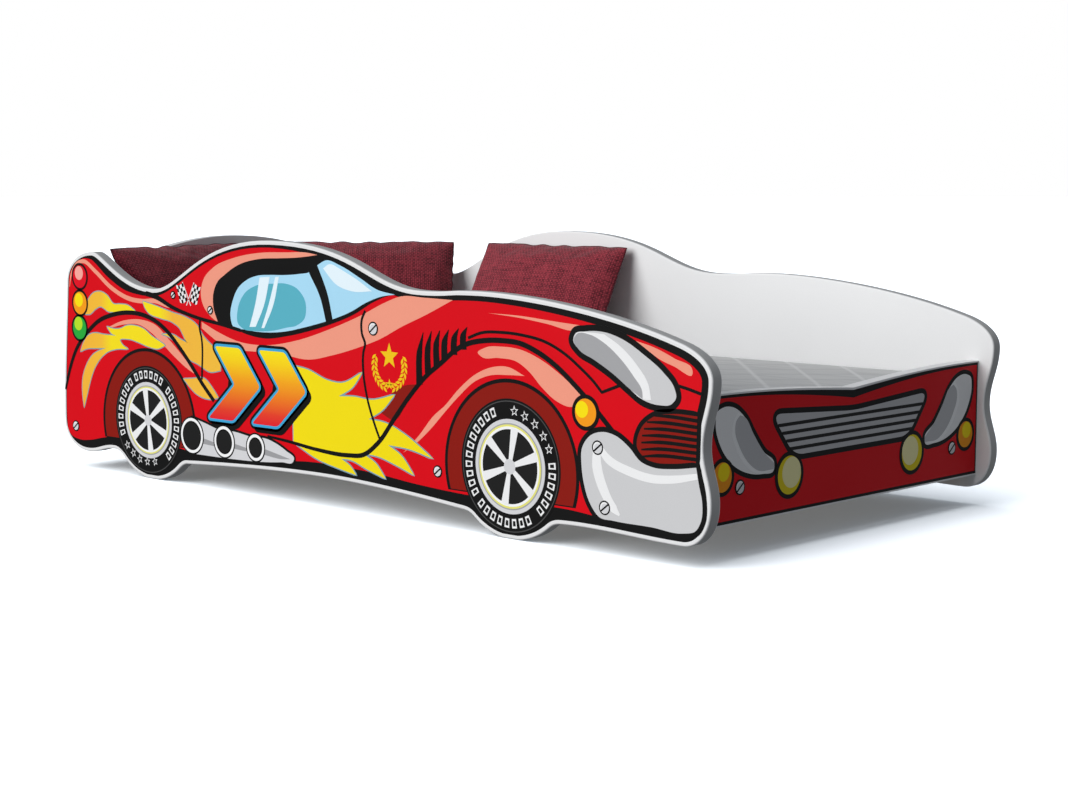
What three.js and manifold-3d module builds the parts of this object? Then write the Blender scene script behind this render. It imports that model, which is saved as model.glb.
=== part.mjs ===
// A toddler bed shaped like a racing car: two cut-out side panels, a domed headboard and a low front board
// joined by cam locks and dowels, a slatted base on two screwed rails, a foam mattress and three cushions.
// Millimetres. +X points to the car's nose, +Z up, and the origin is on the floor under the middle of the bed.
import * as THREE from 'three';
import { mergeVertices } from 'three/addons/utils/BufferGeometryUtils.js';
import Module from 'manifold-3d';

const wasm = await Module();
wasm.setup();

// ---------------------------------------------------------------- driving dimensions
const TOUCH = 0.3; // gap kept between pieces that touch

// Mattress and the well that it lies in
const MATTRESS_LENGTH = 1400;
const MATTRESS_WIDTH = 700;
const MATTRESS_HEIGHT = 100;
const MATTRESS_CORNER = 38; // corner radius seen from above
const MATTRESS_EDGE = 9; // rounding of the upper and lower edges
const SIDE_CLEARANCE = 3; // mattress to each side panel
const FOOT_CLEARANCE = 9; // mattress to the front board
const HEAD_CLEARANCE = 22; // mattress to the headboard

// Boards
const BOARD = 22;
const TAIL_SETBACK = 10; // headboard ahead of the side panels' rear end
const NOSE_SETBACK = 27; // front board behind the side panels' nose
const BOARD_FOOT = 52; // lower edge of headboard and front board above the floor
const HEADBOARD_HEIGHT = 415; // top of the dome
const DOME_RADIUS = 675;
const FRONT_HEIGHT = 237; // front board at its ends
const FRONT_NOTCH_HEIGHT = 221; // front board at mid-width, where its two arches meet

// Side panel outline: heights above the floor, and distances along the car
const TAIL_OVERHANG = 258; // rear wheel centre to the rear end
const NOSE_OVERHANG = 374; // front wheel centre to the nose
const WHEEL_RADIUS = 124.5;
const FOOT_FLAT = 30; // flat that each wheel stands on
const REAR_LOBE_SHIFT = 8; // the rear wheel's lobe lies this far ahead of the wheel's centre
const FIN_HEIGHT = 395.5;
const DIP_HEIGHT = 335.5;
const ROOF_HEIGHT = 427;
const COWL_HEIGHT = 359;
const HOOD_HEIGHT = 363;
const SHOULDER_HEIGHT = 308;
const BELLY_HEIGHT = 49.5; // highest point of the lower edge, between the wheels
const SKIRT_HEIGHT = 31; // lower edge at tail and nose
const TAIL_CORNER = 73; // rear end to where the lower edge turns flat
const REAR_FILLET = 112; // rear lobe's middle to the start of its fillet
const BELLY_SHIFT = 16; // highest point of the lower edge, ahead of halfway between the wheels
const FIN_FROM_WHEEL = 160; // top of the fin behind the rear wheel
const DIP_FROM_WHEEL = 19; // lowest point of the dip ahead of the rear wheel
const ROOF_FROM_WHEEL = 338; // top of the roof ahead of the rear wheel
const COWL_FROM_WHEEL = 185; // cowl behind the front wheel
const HOOD_FROM_WHEEL = 63; // top of the hood behind the front wheel
const NOSE_CORNER = 56; // shoulder behind the nose
const BULGE_HEIGHT = 90; // middle of the nose's lower bulge
const WAIST_HEIGHT = 168; // nose's waist, between its two bulges
const WAIST_DEPTH = 16;
const TAIL_FOOT_HEIGHT = 88; // where the rear end starts to curve under

// Slatted base
const SLAT_COUNT = 12;
const SLAT_WIDTH = 70;
const SLAT_THICKNESS = 12;
const SLAT_END_CLEARANCE = 2; // slat end to side panel
const SLAT_END_MARGIN = 30; // first and last slat to the end boards
const RAIL_WIDTH = 30;
const RAIL_HEIGHT = 38;
const RAIL_TOP = 103;
const RAIL_END_CLEARANCE = 2;
const TAPE_WIDTH = 25;
const TAPE_THICKNESS = 1.5;
const TAPE_FROM_RAIL = 28;

// Fixings
const RAIL_SCREWS = 4; // on each rail
const SCREW_END_MARGIN = 90;
const SCREW_LENGTH = 43;
const SCREW_SHANK_RADIUS = 1.9;
const SCREW_HEAD_RADIUS = 4;
const CAM_RADIUS = 7.2;
const CAM_HEIGHT = 13.5;
const CAM_CHAMFER = 0.5;
const CAM_FROM_EDGE = 30; // cam centre to the end board's edge
const BOLT_RADIUS = 2.6;
const BOLT_THREAD_RADIUS = 2.9;
const BOLT_NECK_RADIUS = 1.9;
const BOLT_HEAD_RADIUS = 3;
const BOLT_COLLAR_RADIUS = 3.7;
const BOLT_COLLAR_WIDTH = 2;
const BOLT_HEAD_LENGTH = 3;
const BOLT_HEAD_SHIFT = 5.8; // bolt head's start ahead of the cam's middle
const DOWEL_RADIUS = 4;
const DOWEL_LENGTH = 34;
const TIP = 1; // length of a dowel's or bolt's chamfered end
const FIXING_INTO_PANEL = 11; // cam bolts and dowels reach this deep into the side panels
const LOWER_FIXING = 36; // cam height above the end boards' lower edge
const HEAD_FIXING_SPACING = 176; // lower to upper cam of the headboard
const FRONT_FIXING_SPACING = 112;

// Cushions, sized so that two of them fill the head end of the bed
const HEAD_CUSHION_GAP = 102; // near cushion to corner cushion, across the bed
const CUSHION_HEIGHT = 202;
const CUSHION_THICKNESS = 88;
const CUSHION_SEAM = 7; // thickness left at the seam
const CUSHION_FULLNESS = 0.6; // how soon the cushion thins towards its seam: lower is fuller
const CUSHION_SHORTENED = 0.03; // share of the width that the upper and lower seams lose at mid-height
const CUSHION_NARROWED = 0.05; // share of the height that the cushion loses at mid-width
const CUSHION_LEAN = 27; // degrees back from upright
const CUSHION_WALL_CLEARANCE = 17; // top corner to the board that it leans on
const CUSHION_FLOOR_CLEARANCE = 1; // lower seam to the mattress
const NEAR_CUSHION_TURN = 100; // degrees from +X to the cushion's width
const CORNER_CUSHION_TURN = 43;
const CUSHION_GAP = 110; // corner cushion to far cushion, along the far panel

// ---------------------------------------------------------------- places worked out from them
const wellLength = HEAD_CLEARANCE + MATTRESS_LENGTH + FOOT_CLEARANCE;
const wellWidth = MATTRESS_WIDTH + 2 * SIDE_CLEARANCE;
const bedLength = TAIL_SETBACK + BOARD + wellLength + BOARD + NOSE_SETBACK;
const tailX = -bedLength / 2;
const noseX = bedLength / 2;
const headX = tailX + TAIL_SETBACK + BOARD; // headboard's inner face
const footX = noseX - NOSE_SETBACK - BOARD; // front board's inner face
const sideY = wellWidth / 2; // side panels' inner faces
const rearWheelX = tailX + TAIL_OVERHANG;
const frontWheelX = noseX - NOSE_OVERHANG;
const slatBase = RAIL_TOP + TOUCH;
const mattressBase = slatBase + SLAT_THICKNESS + TOUCH;
const mattressTop = mattressBase + MATTRESS_HEIGHT;
const halfBoard = sideY - TOUCH; // half the length of the end boards

const toRadians = THREE.MathUtils.degToRad;
const nearTurn = toRadians(NEAR_CUSHION_TURN);
const cornerTurn = toRadians(CORNER_CUSHION_TURN);
const cushionHeadX = headX + CUSHION_WALL_CLEARANCE;
const cushionSideY = sideY - CUSHION_WALL_CLEARANCE;
const cushionWidth = (2 * cushionSideY - HEAD_CUSHION_GAP) / (Math.sin(nearTurn) + Math.sin(cornerTurn));

// ---------------------------------------------------------------- solids
const LENGTHWISE = new THREE.Matrix4().makeBasis( // drawn in Y and Z, extruded along X
  new THREE.Vector3(0, 1, 0),
  new THREE.Vector3(0, 0, 1),
  new THREE.Vector3(1, 0, 0),
);

// A plate or bar drawn in X and Z and extruded along Y from nearY.
function acrossBed(shape, nearY, width, curveSegments = 9) {
  const geometry = new THREE.ExtrudeGeometry(shape, { depth: width, bevelEnabled: false, curveSegments });
  return geometry.rotateX(Math.PI / 2).translate(0, nearY + width, 0);
}

// A plate or bar drawn in Y and Z and extruded along X from rearX.
function alongBed(shape, rearX, length, curveSegments = 9) {
  const geometry = new THREE.ExtrudeGeometry(shape, { depth: length, bevelEnabled: false, curveSegments });
  return geometry.applyMatrix4(LENGTHWISE).translate(rearX, 0, 0);
}

// A round piece from its profile of [radius, distance] pairs, which starts and ends on the axis.
// It starts at the given place and points along axis 'x' or 'y', forwards or backwards.
function turned(profile, axis, direction, place, segments = 12) {
  const points = profile.map(([radius, distance]) => new THREE.Vector2(radius, distance));
  const lathe = new THREE.LatheGeometry(points, segments);
  if (axis === 'x') lathe.rotateZ(-direction * Math.PI / 2);
  if (axis === 'y' && direction < 0) lathe.rotateX(Math.PI);
  return lathe.translate(...place);
}

function solidOf(geometry) {
  const bare = geometry.index ? geometry.toNonIndexed() : geometry.clone();
  bare.deleteAttribute('normal');
  bare.deleteAttribute('uv');
  const merged = mergeVertices(bare, 1e-4);
  return new wasm.Manifold(new wasm.Mesh({
    numProp: 3,
    vertProperties: new Float32Array(merged.attributes.position.array),
    triVerts: new Uint32Array(merged.index.array),
  }));
}

// The body with the cutters taken away.
function cut(body, cutters) {
  let solid = solidOf(body);
  for (const cutter of cutters) {
    solid = solid.subtract(solidOf(cutter));
  }
  const mesh = solid.getMesh();
  const geometry = new THREE.BufferGeometry();
  geometry.setAttribute('position', new THREE.BufferAttribute(new Float32Array(mesh.vertProperties), 3));
  geometry.setIndex(new THREE.BufferAttribute(new Uint32Array(mesh.triVerts), 1));
  return geometry;
}

function roundedRectangle(left, bottom, width, height, radius) {
  const shape = new THREE.Shape();
  shape.absarc(left + width - radius, bottom + radius, radius, -Math.PI / 2, 0, false);
  shape.absarc(left + width - radius, bottom + height - radius, radius, 0, Math.PI / 2, false);
  shape.absarc(left + radius, bottom + height - radius, radius, Math.PI / 2, Math.PI, false);
  shape.absarc(left + radius, bottom + radius, radius, Math.PI, Math.PI * 1.5, false);
  return shape;
}

// ---------------------------------------------------------------- side panel outline
// A knot is a place on a curved outline: how far along and how high, the heading there in degrees (0 forwards,
// 90 up), and how far the curve keeps that heading before and after, as shares of the distance between knots.
function curveThrough(shape, knots) {
  for (let i = 1; i < knots.length; i += 1) {
    const [x0, z0, heading0, , after] = knots[i - 1];
    const [x1, z1, heading1, before] = knots[i];
    const distance = Math.hypot(x1 - x0, z1 - z0);
    const leave = toRadians(heading0);
    const arrive = toRadians(heading1);
    shape.bezierCurveTo(
      x0 + after * distance * Math.cos(leave),
      z0 + after * distance * Math.sin(leave),
      x1 - before * distance * Math.cos(arrive),
      z1 - before * distance * Math.sin(arrive),
      x1,
      z1,
    );
  }
}

const LOBE_REACH = 38; // degrees of each wheel's circle on each side of its lowest point
const FILLET_REACH = 99; // wheel lobe's middle to where its fillets meet the lower edge

// The lower half of a wheel, with the flat that it stands on.
function wheelLobe(shape, middleX) {
  const middleZ = Math.sqrt(WHEEL_RADIUS ** 2 - (FOOT_FLAT / 2) ** 2);
  const down = -Math.PI / 2;
  const reach = toRadians(LOBE_REACH);
  const flat = Math.asin(FOOT_FLAT / 2 / WHEEL_RADIUS);
  shape.absarc(middleX, middleZ, WHEEL_RADIUS, down - reach, down - flat, false);
  shape.absarc(middleX, middleZ, WHEEL_RADIUS, down + flat, down + reach, false);
}

// Where a wheel lobe's circle starts (side -1) or ends (side 1), as a knot.
function lobeEnd(middleX, side) {
  const middleZ = Math.sqrt(WHEEL_RADIUS ** 2 - (FOOT_FLAT / 2) ** 2);
  const reach = toRadians(LOBE_REACH);
  const x = middleX + side * WHEEL_RADIUS * Math.sin(reach);
  const z = middleZ - WHEEL_RADIUS * Math.cos(reach);
  return [x, z, side * LOBE_REACH, 0.35, 0.35];
}

function sidePanelOutline() {
  const rearLobeX = rearWheelX + REAR_LOBE_SHIFT;
  const skirtStart = [tailX + TAIL_CORNER, SKIRT_HEIGHT, 0, 0.38, 0.4];
  const shape = new THREE.Shape();
  shape.moveTo(skirtStart[0], skirtStart[1]);
  curveThrough(shape, [
    skirtStart,
    [rearLobeX - REAR_FILLET, SKIRT_HEIGHT + 12, 0, 0.4, 0.35],
    lobeEnd(rearLobeX, -1),
  ]);
  wheelLobe(shape, rearLobeX);
  curveThrough(shape, [
    lobeEnd(rearLobeX, 1),
    [rearLobeX + FILLET_REACH, BELLY_HEIGHT - 13.5, 3.5, 0.35, 0.33],
    [(rearLobeX + frontWheelX) / 2 + BELLY_SHIFT, BELLY_HEIGHT, 0, 0.33, 0.33],
    [frontWheelX - FILLET_REACH, BELLY_HEIGHT - 16.5, -4.5, 0.33, 0.35],
    lobeEnd(frontWheelX, -1),
  ]);
  wheelLobe(shape, frontWheelX);
  curveThrough(shape, [
    lobeEnd(frontWheelX, 1),
    [frontWheelX + FILLET_REACH, SKIRT_HEIGHT + 2.5, 3, 0.35, 0.33],
    [noseX - 50, SKIRT_HEIGHT - 1.5, 0, 0.33, 0.38],
    [noseX - 1, BULGE_HEIGHT, 90, 0.45, 0.38],
    [noseX - WAIST_DEPTH, WAIST_HEIGHT, 90, 0.38, 0.38],
    [noseX, SHOULDER_HEIGHT - 50, 90, 0.38, 0.33],
    [noseX - NOSE_CORNER, SHOULDER_HEIGHT, 163, 0.4, 0.36],
    [frontWheelX - HOOD_FROM_WHEEL, HOOD_HEIGHT, 180, 0.21, 0.65],
    [frontWheelX - COWL_FROM_WHEEL, COWL_HEIGHT, 180, 0.55, 0.33],
    [rearWheelX + ROOF_FROM_WHEEL, ROOF_HEIGHT, 180, 0.6, 0.58],
    [rearWheelX + DIP_FROM_WHEEL, DIP_HEIGHT, 180, 0.22, 0.5],
    [rearWheelX - FIN_FROM_WHEEL, FIN_HEIGHT, 180, 0.15, 0.46],
    [tailX + 17, FIN_HEIGHT - 54, 266, 0.31, 0.33],
    [tailX, TAIL_FOOT_HEIGHT, 270, 0.33, 0.43],
    skirtStart,
  ]);
  return shape;
}

// ---------------------------------------------------------------- end boards
function headboardOutline() {
  const middleZ = HEADBOARD_HEIGHT - DOME_RADIUS;
  const reach = Math.asin(halfBoard / DOME_RADIUS);
  const shape = new THREE.Shape();
  shape.moveTo(-halfBoard, BOARD_FOOT);
  shape.lineTo(halfBoard, BOARD_FOOT);
  shape.absarc(0, middleZ, DOME_RADIUS, Math.PI / 2 - reach, Math.PI / 2 + reach, false);
  return shape;
}

function frontBoardOutline() {
  const shape = new THREE.Shape();
  shape.moveTo(-halfBoard, BOARD_FOOT);
  shape.lineTo(halfBoard, BOARD_FOOT);
  shape.lineTo(halfBoard, FRONT_HEIGHT);
  curveThrough(shape, [
    [halfBoard, FRONT_HEIGHT, 180, 0, 0.36],
    [0, FRONT_NOTCH_HEIGHT, 184.5, 0.4, 0],
  ]);
  curveThrough(shape, [
    [0, FRONT_NOTCH_HEIGHT, 175.5, 0, 0.4],
    [-halfBoard, FRONT_HEIGHT, 180, 0.36, 0],
  ]);
  return shape;
}

// ---------------------------------------------------------------- fixings
// Distances along a cam bolt or dowel run from the side panel's inner face towards the middle of the bed.
const camMiddle = TOUCH + CAM_FROM_EDGE;
const boltHeadStart = camMiddle - BOLT_HEAD_SHIFT;
const boltHeadEnd = boltHeadStart + BOLT_HEAD_LENGTH;

const BOLT_PROFILE = [
  [0, -FIXING_INTO_PANEL],
  [BOLT_THREAD_RADIUS, TIP - FIXING_INTO_PANEL],
  [BOLT_THREAD_RADIUS, 0],
  [BOLT_COLLAR_RADIUS, TOUCH],
  [BOLT_COLLAR_RADIUS, TOUCH + BOLT_COLLAR_WIDTH],
  [BOLT_RADIUS, TOUCH + BOLT_COLLAR_WIDTH],
  [BOLT_RADIUS, boltHeadStart - 3],
  [BOLT_NECK_RADIUS, boltHeadStart - 2],
  [BOLT_NECK_RADIUS, boltHeadStart],
  [BOLT_HEAD_RADIUS, boltHeadStart + 0.8],
  [BOLT_HEAD_RADIUS, boltHeadEnd],
  [0, boltHeadEnd],
];

const DOWEL_PROFILE = [
  [0, -FIXING_INTO_PANEL],
  [DOWEL_RADIUS - TIP, -FIXING_INTO_PANEL],
  [DOWEL_RADIUS, TIP - FIXING_INTO_PANEL],
  [DOWEL_RADIUS, DOWEL_LENGTH - FIXING_INTO_PANEL - TIP],
  [DOWEL_RADIUS - TIP, DOWEL_LENGTH - FIXING_INTO_PANEL],
  [0, DOWEL_LENGTH - FIXING_INTO_PANEL],
];

// Distances along a rail screw run from the rail's inner face into the side panel.
const SCREW_PROFILE = [
  [0, TOUCH],
  [SCREW_HEAD_RADIUS, TOUCH],
  [SCREW_SHANK_RADIUS, TOUCH + SCREW_HEAD_RADIUS - SCREW_SHANK_RADIUS],
  [SCREW_SHANK_RADIUS, SCREW_LENGTH - 3],
  [0, SCREW_LENGTH],
];

const SCREW_HOLE_PROFILE = [
  [0, -1],
  [SCREW_HEAD_RADIUS + TOUCH, -1],
  [SCREW_HEAD_RADIUS + TOUCH, TOUCH * 2],
  [SCREW_SHANK_RADIUS + TOUCH, TOUCH * 2 + SCREW_HEAD_RADIUS - SCREW_SHANK_RADIUS],
  [SCREW_SHANK_RADIUS + TOUCH, SCREW_LENGTH + TOUCH],
  [0, SCREW_LENGTH + TOUCH],
];

function bore(radius, from, to) {
  return [[0, from], [radius, from], [radius, to], [0, to]];
}

// The two end boards. inward is the direction from a board's inner face into its wood.
const ENDS = [
  { name: 'head', faceX: headX, inward: -1, spacing: HEAD_FIXING_SPACING },
  { name: 'front', faceX: footX, inward: 1, spacing: FRONT_FIXING_SPACING },
];

const SIDES = [
  { name: 'right', side: -1 },
  { name: 'left', side: 1 },
];

// One corner joint: a cam and its bolt below, another pair above, and a dowel between them.
function cornerFixings(end, { name, side }) {
  const boltX = end.faceX + end.inward * BOARD / 2;
  const cams = [['lower', 0], ['upper', end.spacing]].map(([level, rise]) => {
    const z = BOARD_FOOT + LOWER_FIXING + rise;
    return {
      name: `${end.name}_${name}_${level}`,
      camPlace: [end.faceX + end.inward * TOUCH, side * (sideY - camMiddle), z],
      facePlace: [end.faceX, side * (sideY - camMiddle), z],
      boltPlace: [boltX, side * sideY, z],
    };
  });
  return {
    name: `${end.name}_${name}`,
    end,
    side,
    cams,
    dowelPlace: [boltX, side * sideY, BOARD_FOOT + LOWER_FIXING + end.spacing / 2],
  };
}

const corners = ENDS.flatMap((end) => SIDES.map((side) => cornerFixings(end, side)));

const railScrews = SIDES.flatMap(({ name, side }) => {
  const first = headX + SCREW_END_MARGIN;
  const pitch = (wellLength - 2 * SCREW_END_MARGIN) / (RAIL_SCREWS - 1);
  return Array.from({ length: RAIL_SCREWS }, (_, i) => ({
    name: `rail_screw_${name}_${i + 1}`,
    side,
    place: [first + i * pitch, side * (sideY - TOUCH - RAIL_WIDTH), RAIL_TOP - RAIL_HEIGHT / 2],
  }));
});

const screwHole = ({ side, place }) => turned(SCREW_HOLE_PROFILE, 'y', side, place);

// Blind holes for the cam bolts and dowels in a side panel's inner face
function panelHoles(side) {
  const depth = -FIXING_INTO_PANEL - TOUCH;
  const here = corners.filter((corner) => corner.side === side);
  return [
    ...here.flatMap((corner) => corner.cams.map(({ boltPlace }) => (
      turned(bore(BOLT_THREAD_RADIUS + TOUCH, depth, 1), 'y', -side, boltPlace)))),
    ...here.map(({ dowelPlace }) => turned(bore(DOWEL_RADIUS + TOUCH, depth, 1), 'y', -side, dowelPlace)),
    ...railScrews.filter((screw) => screw.side === side).map(screwHole),
  ];
}

// Cam pockets in an end board's inner face, and bolt and dowel holes in its ends
function boardHoles(end) {
  const here = corners.filter((corner) => corner.end === end);
  const dowelEnd = DOWEL_LENGTH - FIXING_INTO_PANEL + TOUCH;
  return [
    ...here.flatMap(({ side, cams }) => cams.flatMap(({ facePlace, boltPlace }) => [
      turned(bore(CAM_RADIUS + TOUCH, -1, CAM_HEIGHT + 2 * TOUCH), 'x', end.inward, facePlace, 24),
      turned(bore(BOLT_COLLAR_RADIUS + TOUCH, -1, camMiddle), 'y', -side, boltPlace),
    ])),
    ...here.map(({ side, dowelPlace }) => (
      turned(bore(DOWEL_RADIUS + TOUCH, -1, dowelEnd), 'y', -side, dowelPlace))),
  ];
}

const CAM_SLOT = [9, 1.6, 3]; // length, width and depth of the cross recess

// A cam has a cross recess in its face and an open channel that grips the bolt's head.
function camGeometry({ end, side }, { camPlace, boltPlace }) {
  const profile = [
    [0, 0],
    [CAM_RADIUS - CAM_CHAMFER, 0],
    [CAM_RADIUS, CAM_CHAMFER],
    [CAM_RADIUS, CAM_HEIGHT],
    [0, CAM_HEIGHT],
  ];
  const [length, width, depth] = CAM_SLOT;
  const slotX = camPlace[0] + end.inward * (depth / 2 - 0.5);
  const channel = bore(BOLT_HEAD_RADIUS + TOUCH, camMiddle - CAM_RADIUS - 1, boltHeadEnd + TOUCH);
  return cut(turned(profile, 'x', end.inward, camPlace, 24), [
    new THREE.BoxGeometry(depth + 1, length, width).translate(slotX, camPlace[1], camPlace[2]),
    new THREE.BoxGeometry(depth + 1, width, length).translate(slotX, camPlace[1], camPlace[2]),
    turned(channel, 'y', -side, boltPlace),
  ]);
}

// ---------------------------------------------------------------- soft parts
function mattressGeometry() {
  const length = MATTRESS_LENGTH - 2 * MATTRESS_EDGE;
  const width = MATTRESS_WIDTH - 2 * MATTRESS_EDGE;
  const plan = roundedRectangle(
    headX + HEAD_CLEARANCE + MATTRESS_EDGE,
    -width / 2,
    length,
    width,
    MATTRESS_CORNER - MATTRESS_EDGE,
  );
  return new THREE.ExtrudeGeometry(plan, {
    depth: MATTRESS_HEIGHT - 2 * MATTRESS_EDGE,
    bevelThickness: MATTRESS_EDGE,
    bevelSize: MATTRESS_EDGE,
    bevelSegments: 3,
    curveSegments: 4,
  }).translate(0, 0, mattressBase + MATTRESS_EDGE);
}

// A stuffed cushion: thickest in the middle, thin at its seam, its sides drawn in between the corners.
function cushionGeometry() {
  const geometry = new THREE.BoxGeometry(2, 2, 2, 14, 10, 1);
  const { position } = geometry.attributes;
  for (let i = 0; i < position.count; i += 1) {
    const u = position.getX(i);
    const v = position.getY(i);
    const fullness = ((1 - u * u) * (1 - v * v)) ** CUSHION_FULLNESS;
    const thickness = CUSHION_SEAM + (CUSHION_THICKNESS - CUSHION_SEAM) * fullness;
    position.setXYZ(
      i,
      cushionWidth / 2 * u * (1 - CUSHION_SHORTENED * (1 - v * v)),
      CUSHION_HEIGHT / 2 * v * (1 - CUSHION_NARROWED * (1 - u * u)),
      thickness / 2 * Math.sign(position.getZ(i)),
    );
  }
  return geometry;
}

// Stands a cushion on the mattress, its width turned from +X, leaning back from its lower edge.
// top is the place of its upper seam's middle, seen from above.
function placeCushion(mesh, turn, top) {
  const lean = toRadians(CUSHION_LEAN);
  const width = new THREE.Vector3(Math.cos(turn), Math.sin(turn), 0);
  const forward = new THREE.Vector3(Math.sin(turn), -Math.cos(turn), 0);
  const up = new THREE.Vector3(0, 0, Math.cos(lean)).addScaledVector(forward, -Math.sin(lean));
  const facing = forward.clone().multiplyScalar(Math.cos(lean)).add(new THREE.Vector3(0, 0, Math.sin(lean)));
  const rise = CUSHION_HEIGHT / 2 * Math.cos(lean) + CUSHION_SEAM / 2 * Math.sin(lean);
  mesh.setRotationFromMatrix(new THREE.Matrix4().makeBasis(width, up, facing));
  mesh.position.set(top[0], top[1], mattressTop + CUSHION_FLOOR_CLEARANCE + rise);
  mesh.position.addScaledVector(forward, CUSHION_HEIGHT / 2 * Math.sin(lean));
  return mesh;
}

// ---------------------------------------------------------------- the bed
const group = new THREE.Group();

function add(name, geometry, color, roughness, metalness = 0) {
  const mesh = new THREE.Mesh(geometry, new THREE.MeshStandardMaterial({ color, roughness, metalness }));
  mesh.name = name;
  group.add(mesh);
  return mesh;
}

const RED_BOARD = 0xd8101e;
const WHITE_BOARD = 0xe2e2e2;
const PINE = 0xd9b98a;
const ZINC = 0xb9bcc0;
const BURGUNDY = 0x7a2f3f;

for (const { name, side } of SIDES) {
  const nearY = side < 0 ? -sideY - BOARD : sideY;
  const panel = acrossBed(sidePanelOutline(), nearY, BOARD);
  add(`side_panel_${name}`, cut(panel, panelHoles(side)), RED_BOARD, 0.45);
}
const headPlate = alongBed(headboardOutline(), headX - BOARD, BOARD, 20);
add('headboard', cut(headPlate, boardHoles(ENDS[0])), WHITE_BOARD, 0.5);
const frontPlate = alongBed(frontBoardOutline(), footX, BOARD);
add('front_board', cut(frontPlate, boardHoles(ENDS[1])), RED_BOARD, 0.45);

for (const corner of corners) {
  for (const cam of corner.cams) {
    add(`cam_${cam.name}`, camGeometry(corner, cam), ZINC, 0.4, 1);
    add(`cam_bolt_${cam.name}`, turned(BOLT_PROFILE, 'y', -corner.side, cam.boltPlace), ZINC, 0.35, 1);
  }
  add(`dowel_${corner.name}`, turned(DOWEL_PROFILE, 'y', -corner.side, corner.dowelPlace), PINE, 0.8);
}

for (const { name, side } of SIDES) {
  const bottom = RAIL_TOP - RAIL_HEIGHT;
  const left = side < 0 ? -halfBoard : halfBoard - RAIL_WIDTH;
  const bar = alongBed(
    roundedRectangle(left, bottom, RAIL_WIDTH, RAIL_HEIGHT, 2),
    headX + RAIL_END_CLEARANCE,
    wellLength - 2 * RAIL_END_CLEARANCE,
    1,
  );
  const holes = railScrews.filter((screw) => screw.side === side).map(screwHole);
  add(`slat_rail_${name}`, cut(bar, holes), PINE, 0.75);

  const tapeY = side * (halfBoard - RAIL_WIDTH - TAPE_FROM_RAIL - TAPE_WIDTH / 2);
  const tape = new THREE.BoxGeometry(wellLength - 2 * SLAT_END_MARGIN, TAPE_WIDTH, TAPE_THICKNESS);
  tape.translate((headX + footX) / 2, tapeY, RAIL_TOP - TAPE_THICKNESS / 2);
  add(`slat_tape_${name}`, tape, 0xe8e6df, 0.9);
}

for (const screw of railScrews) {
  add(screw.name, turned(SCREW_PROFILE, 'y', screw.side, screw.place), ZINC, 0.35, 1);
}

const slatLength = wellWidth - 2 * SLAT_END_CLEARANCE;
const slatPitch = (wellLength - 2 * SLAT_END_MARGIN - SLAT_WIDTH) / (SLAT_COUNT - 1);
for (let i = 0; i < SLAT_COUNT; i += 1) {
  const left = headX + SLAT_END_MARGIN + i * slatPitch;
  const section = roundedRectangle(left, slatBase, SLAT_WIDTH, SLAT_THICKNESS, 3);
  const name = `slat_${String(i + 1).padStart(2, '0')}`;
  add(name, acrossBed(section, -slatLength / 2, slatLength, 2), PINE, 0.7);
}

add('mattress', mattressGeometry(), 0xd4d6d9, 0.95);

const halfCushion = cushionWidth / 2;
const cushionTops = {
  near: [nearTurn, [
    cushionHeadX - halfCushion * Math.cos(nearTurn),
    -cushionSideY + halfCushion * Math.sin(nearTurn),
  ]],
  corner: [cornerTurn, [
    cushionHeadX + halfCushion * Math.cos(cornerTurn),
    cushionSideY - halfCushion * Math.sin(cornerTurn),
  ]],
  far: [0, [cushionHeadX + cushionWidth * Math.cos(cornerTurn) + CUSHION_GAP + halfCushion, cushionSideY]],
};
for (const [name, [turn, top]] of Object.entries(cushionTops)) {
  placeCushion(add(`cushion_${name}`, cushionGeometry(), BURGUNDY, 0.95), turn, top);
}

export default group;
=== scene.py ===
import math

import bpy
import numpy as np
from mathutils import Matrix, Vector


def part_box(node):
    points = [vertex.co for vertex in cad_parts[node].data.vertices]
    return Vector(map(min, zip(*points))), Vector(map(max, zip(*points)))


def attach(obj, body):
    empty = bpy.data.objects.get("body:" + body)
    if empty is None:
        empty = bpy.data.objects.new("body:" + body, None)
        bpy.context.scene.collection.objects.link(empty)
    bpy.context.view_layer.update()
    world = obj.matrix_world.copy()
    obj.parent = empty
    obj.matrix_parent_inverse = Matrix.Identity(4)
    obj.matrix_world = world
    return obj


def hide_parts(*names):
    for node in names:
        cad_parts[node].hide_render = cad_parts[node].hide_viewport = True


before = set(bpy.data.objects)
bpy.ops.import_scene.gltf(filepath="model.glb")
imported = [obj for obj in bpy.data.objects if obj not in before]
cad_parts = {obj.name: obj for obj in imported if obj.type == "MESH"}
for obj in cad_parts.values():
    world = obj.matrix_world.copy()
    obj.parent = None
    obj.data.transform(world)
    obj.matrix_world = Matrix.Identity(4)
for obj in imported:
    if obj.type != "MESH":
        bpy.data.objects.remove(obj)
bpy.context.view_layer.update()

# ---------------------------------------------------------------- viewpoint, floor and light
# The bed stands on a plain pale studio floor. One broad soft lamp, low on the left, lights the long side, and
# the room's dim light, stronger on the far side, fills the rest. A wide overhead lamp lights only the floor.
camera = bpy.data.objects.new("camera", bpy.data.cameras.new("camera"))
bpy.context.scene.collection.objects.link(camera)
camera.data.lens = 68.617
camera.data.sensor_width = 36
camera.location = (2.4257, -2.5214, 0.5393)
turned, tipped = math.radians(42.92), math.radians(6.42)
facing = Vector((
    -math.sin(turned) * math.cos(tipped),
    math.cos(turned) * math.cos(tipped),
    -math.sin(tipped),
))
camera.rotation_euler = facing.to_track_quat("-Z", "Y").to_euler()
bpy.context.scene.camera = camera
bpy.context.scene.view_settings.view_transform = "Standard"


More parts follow.
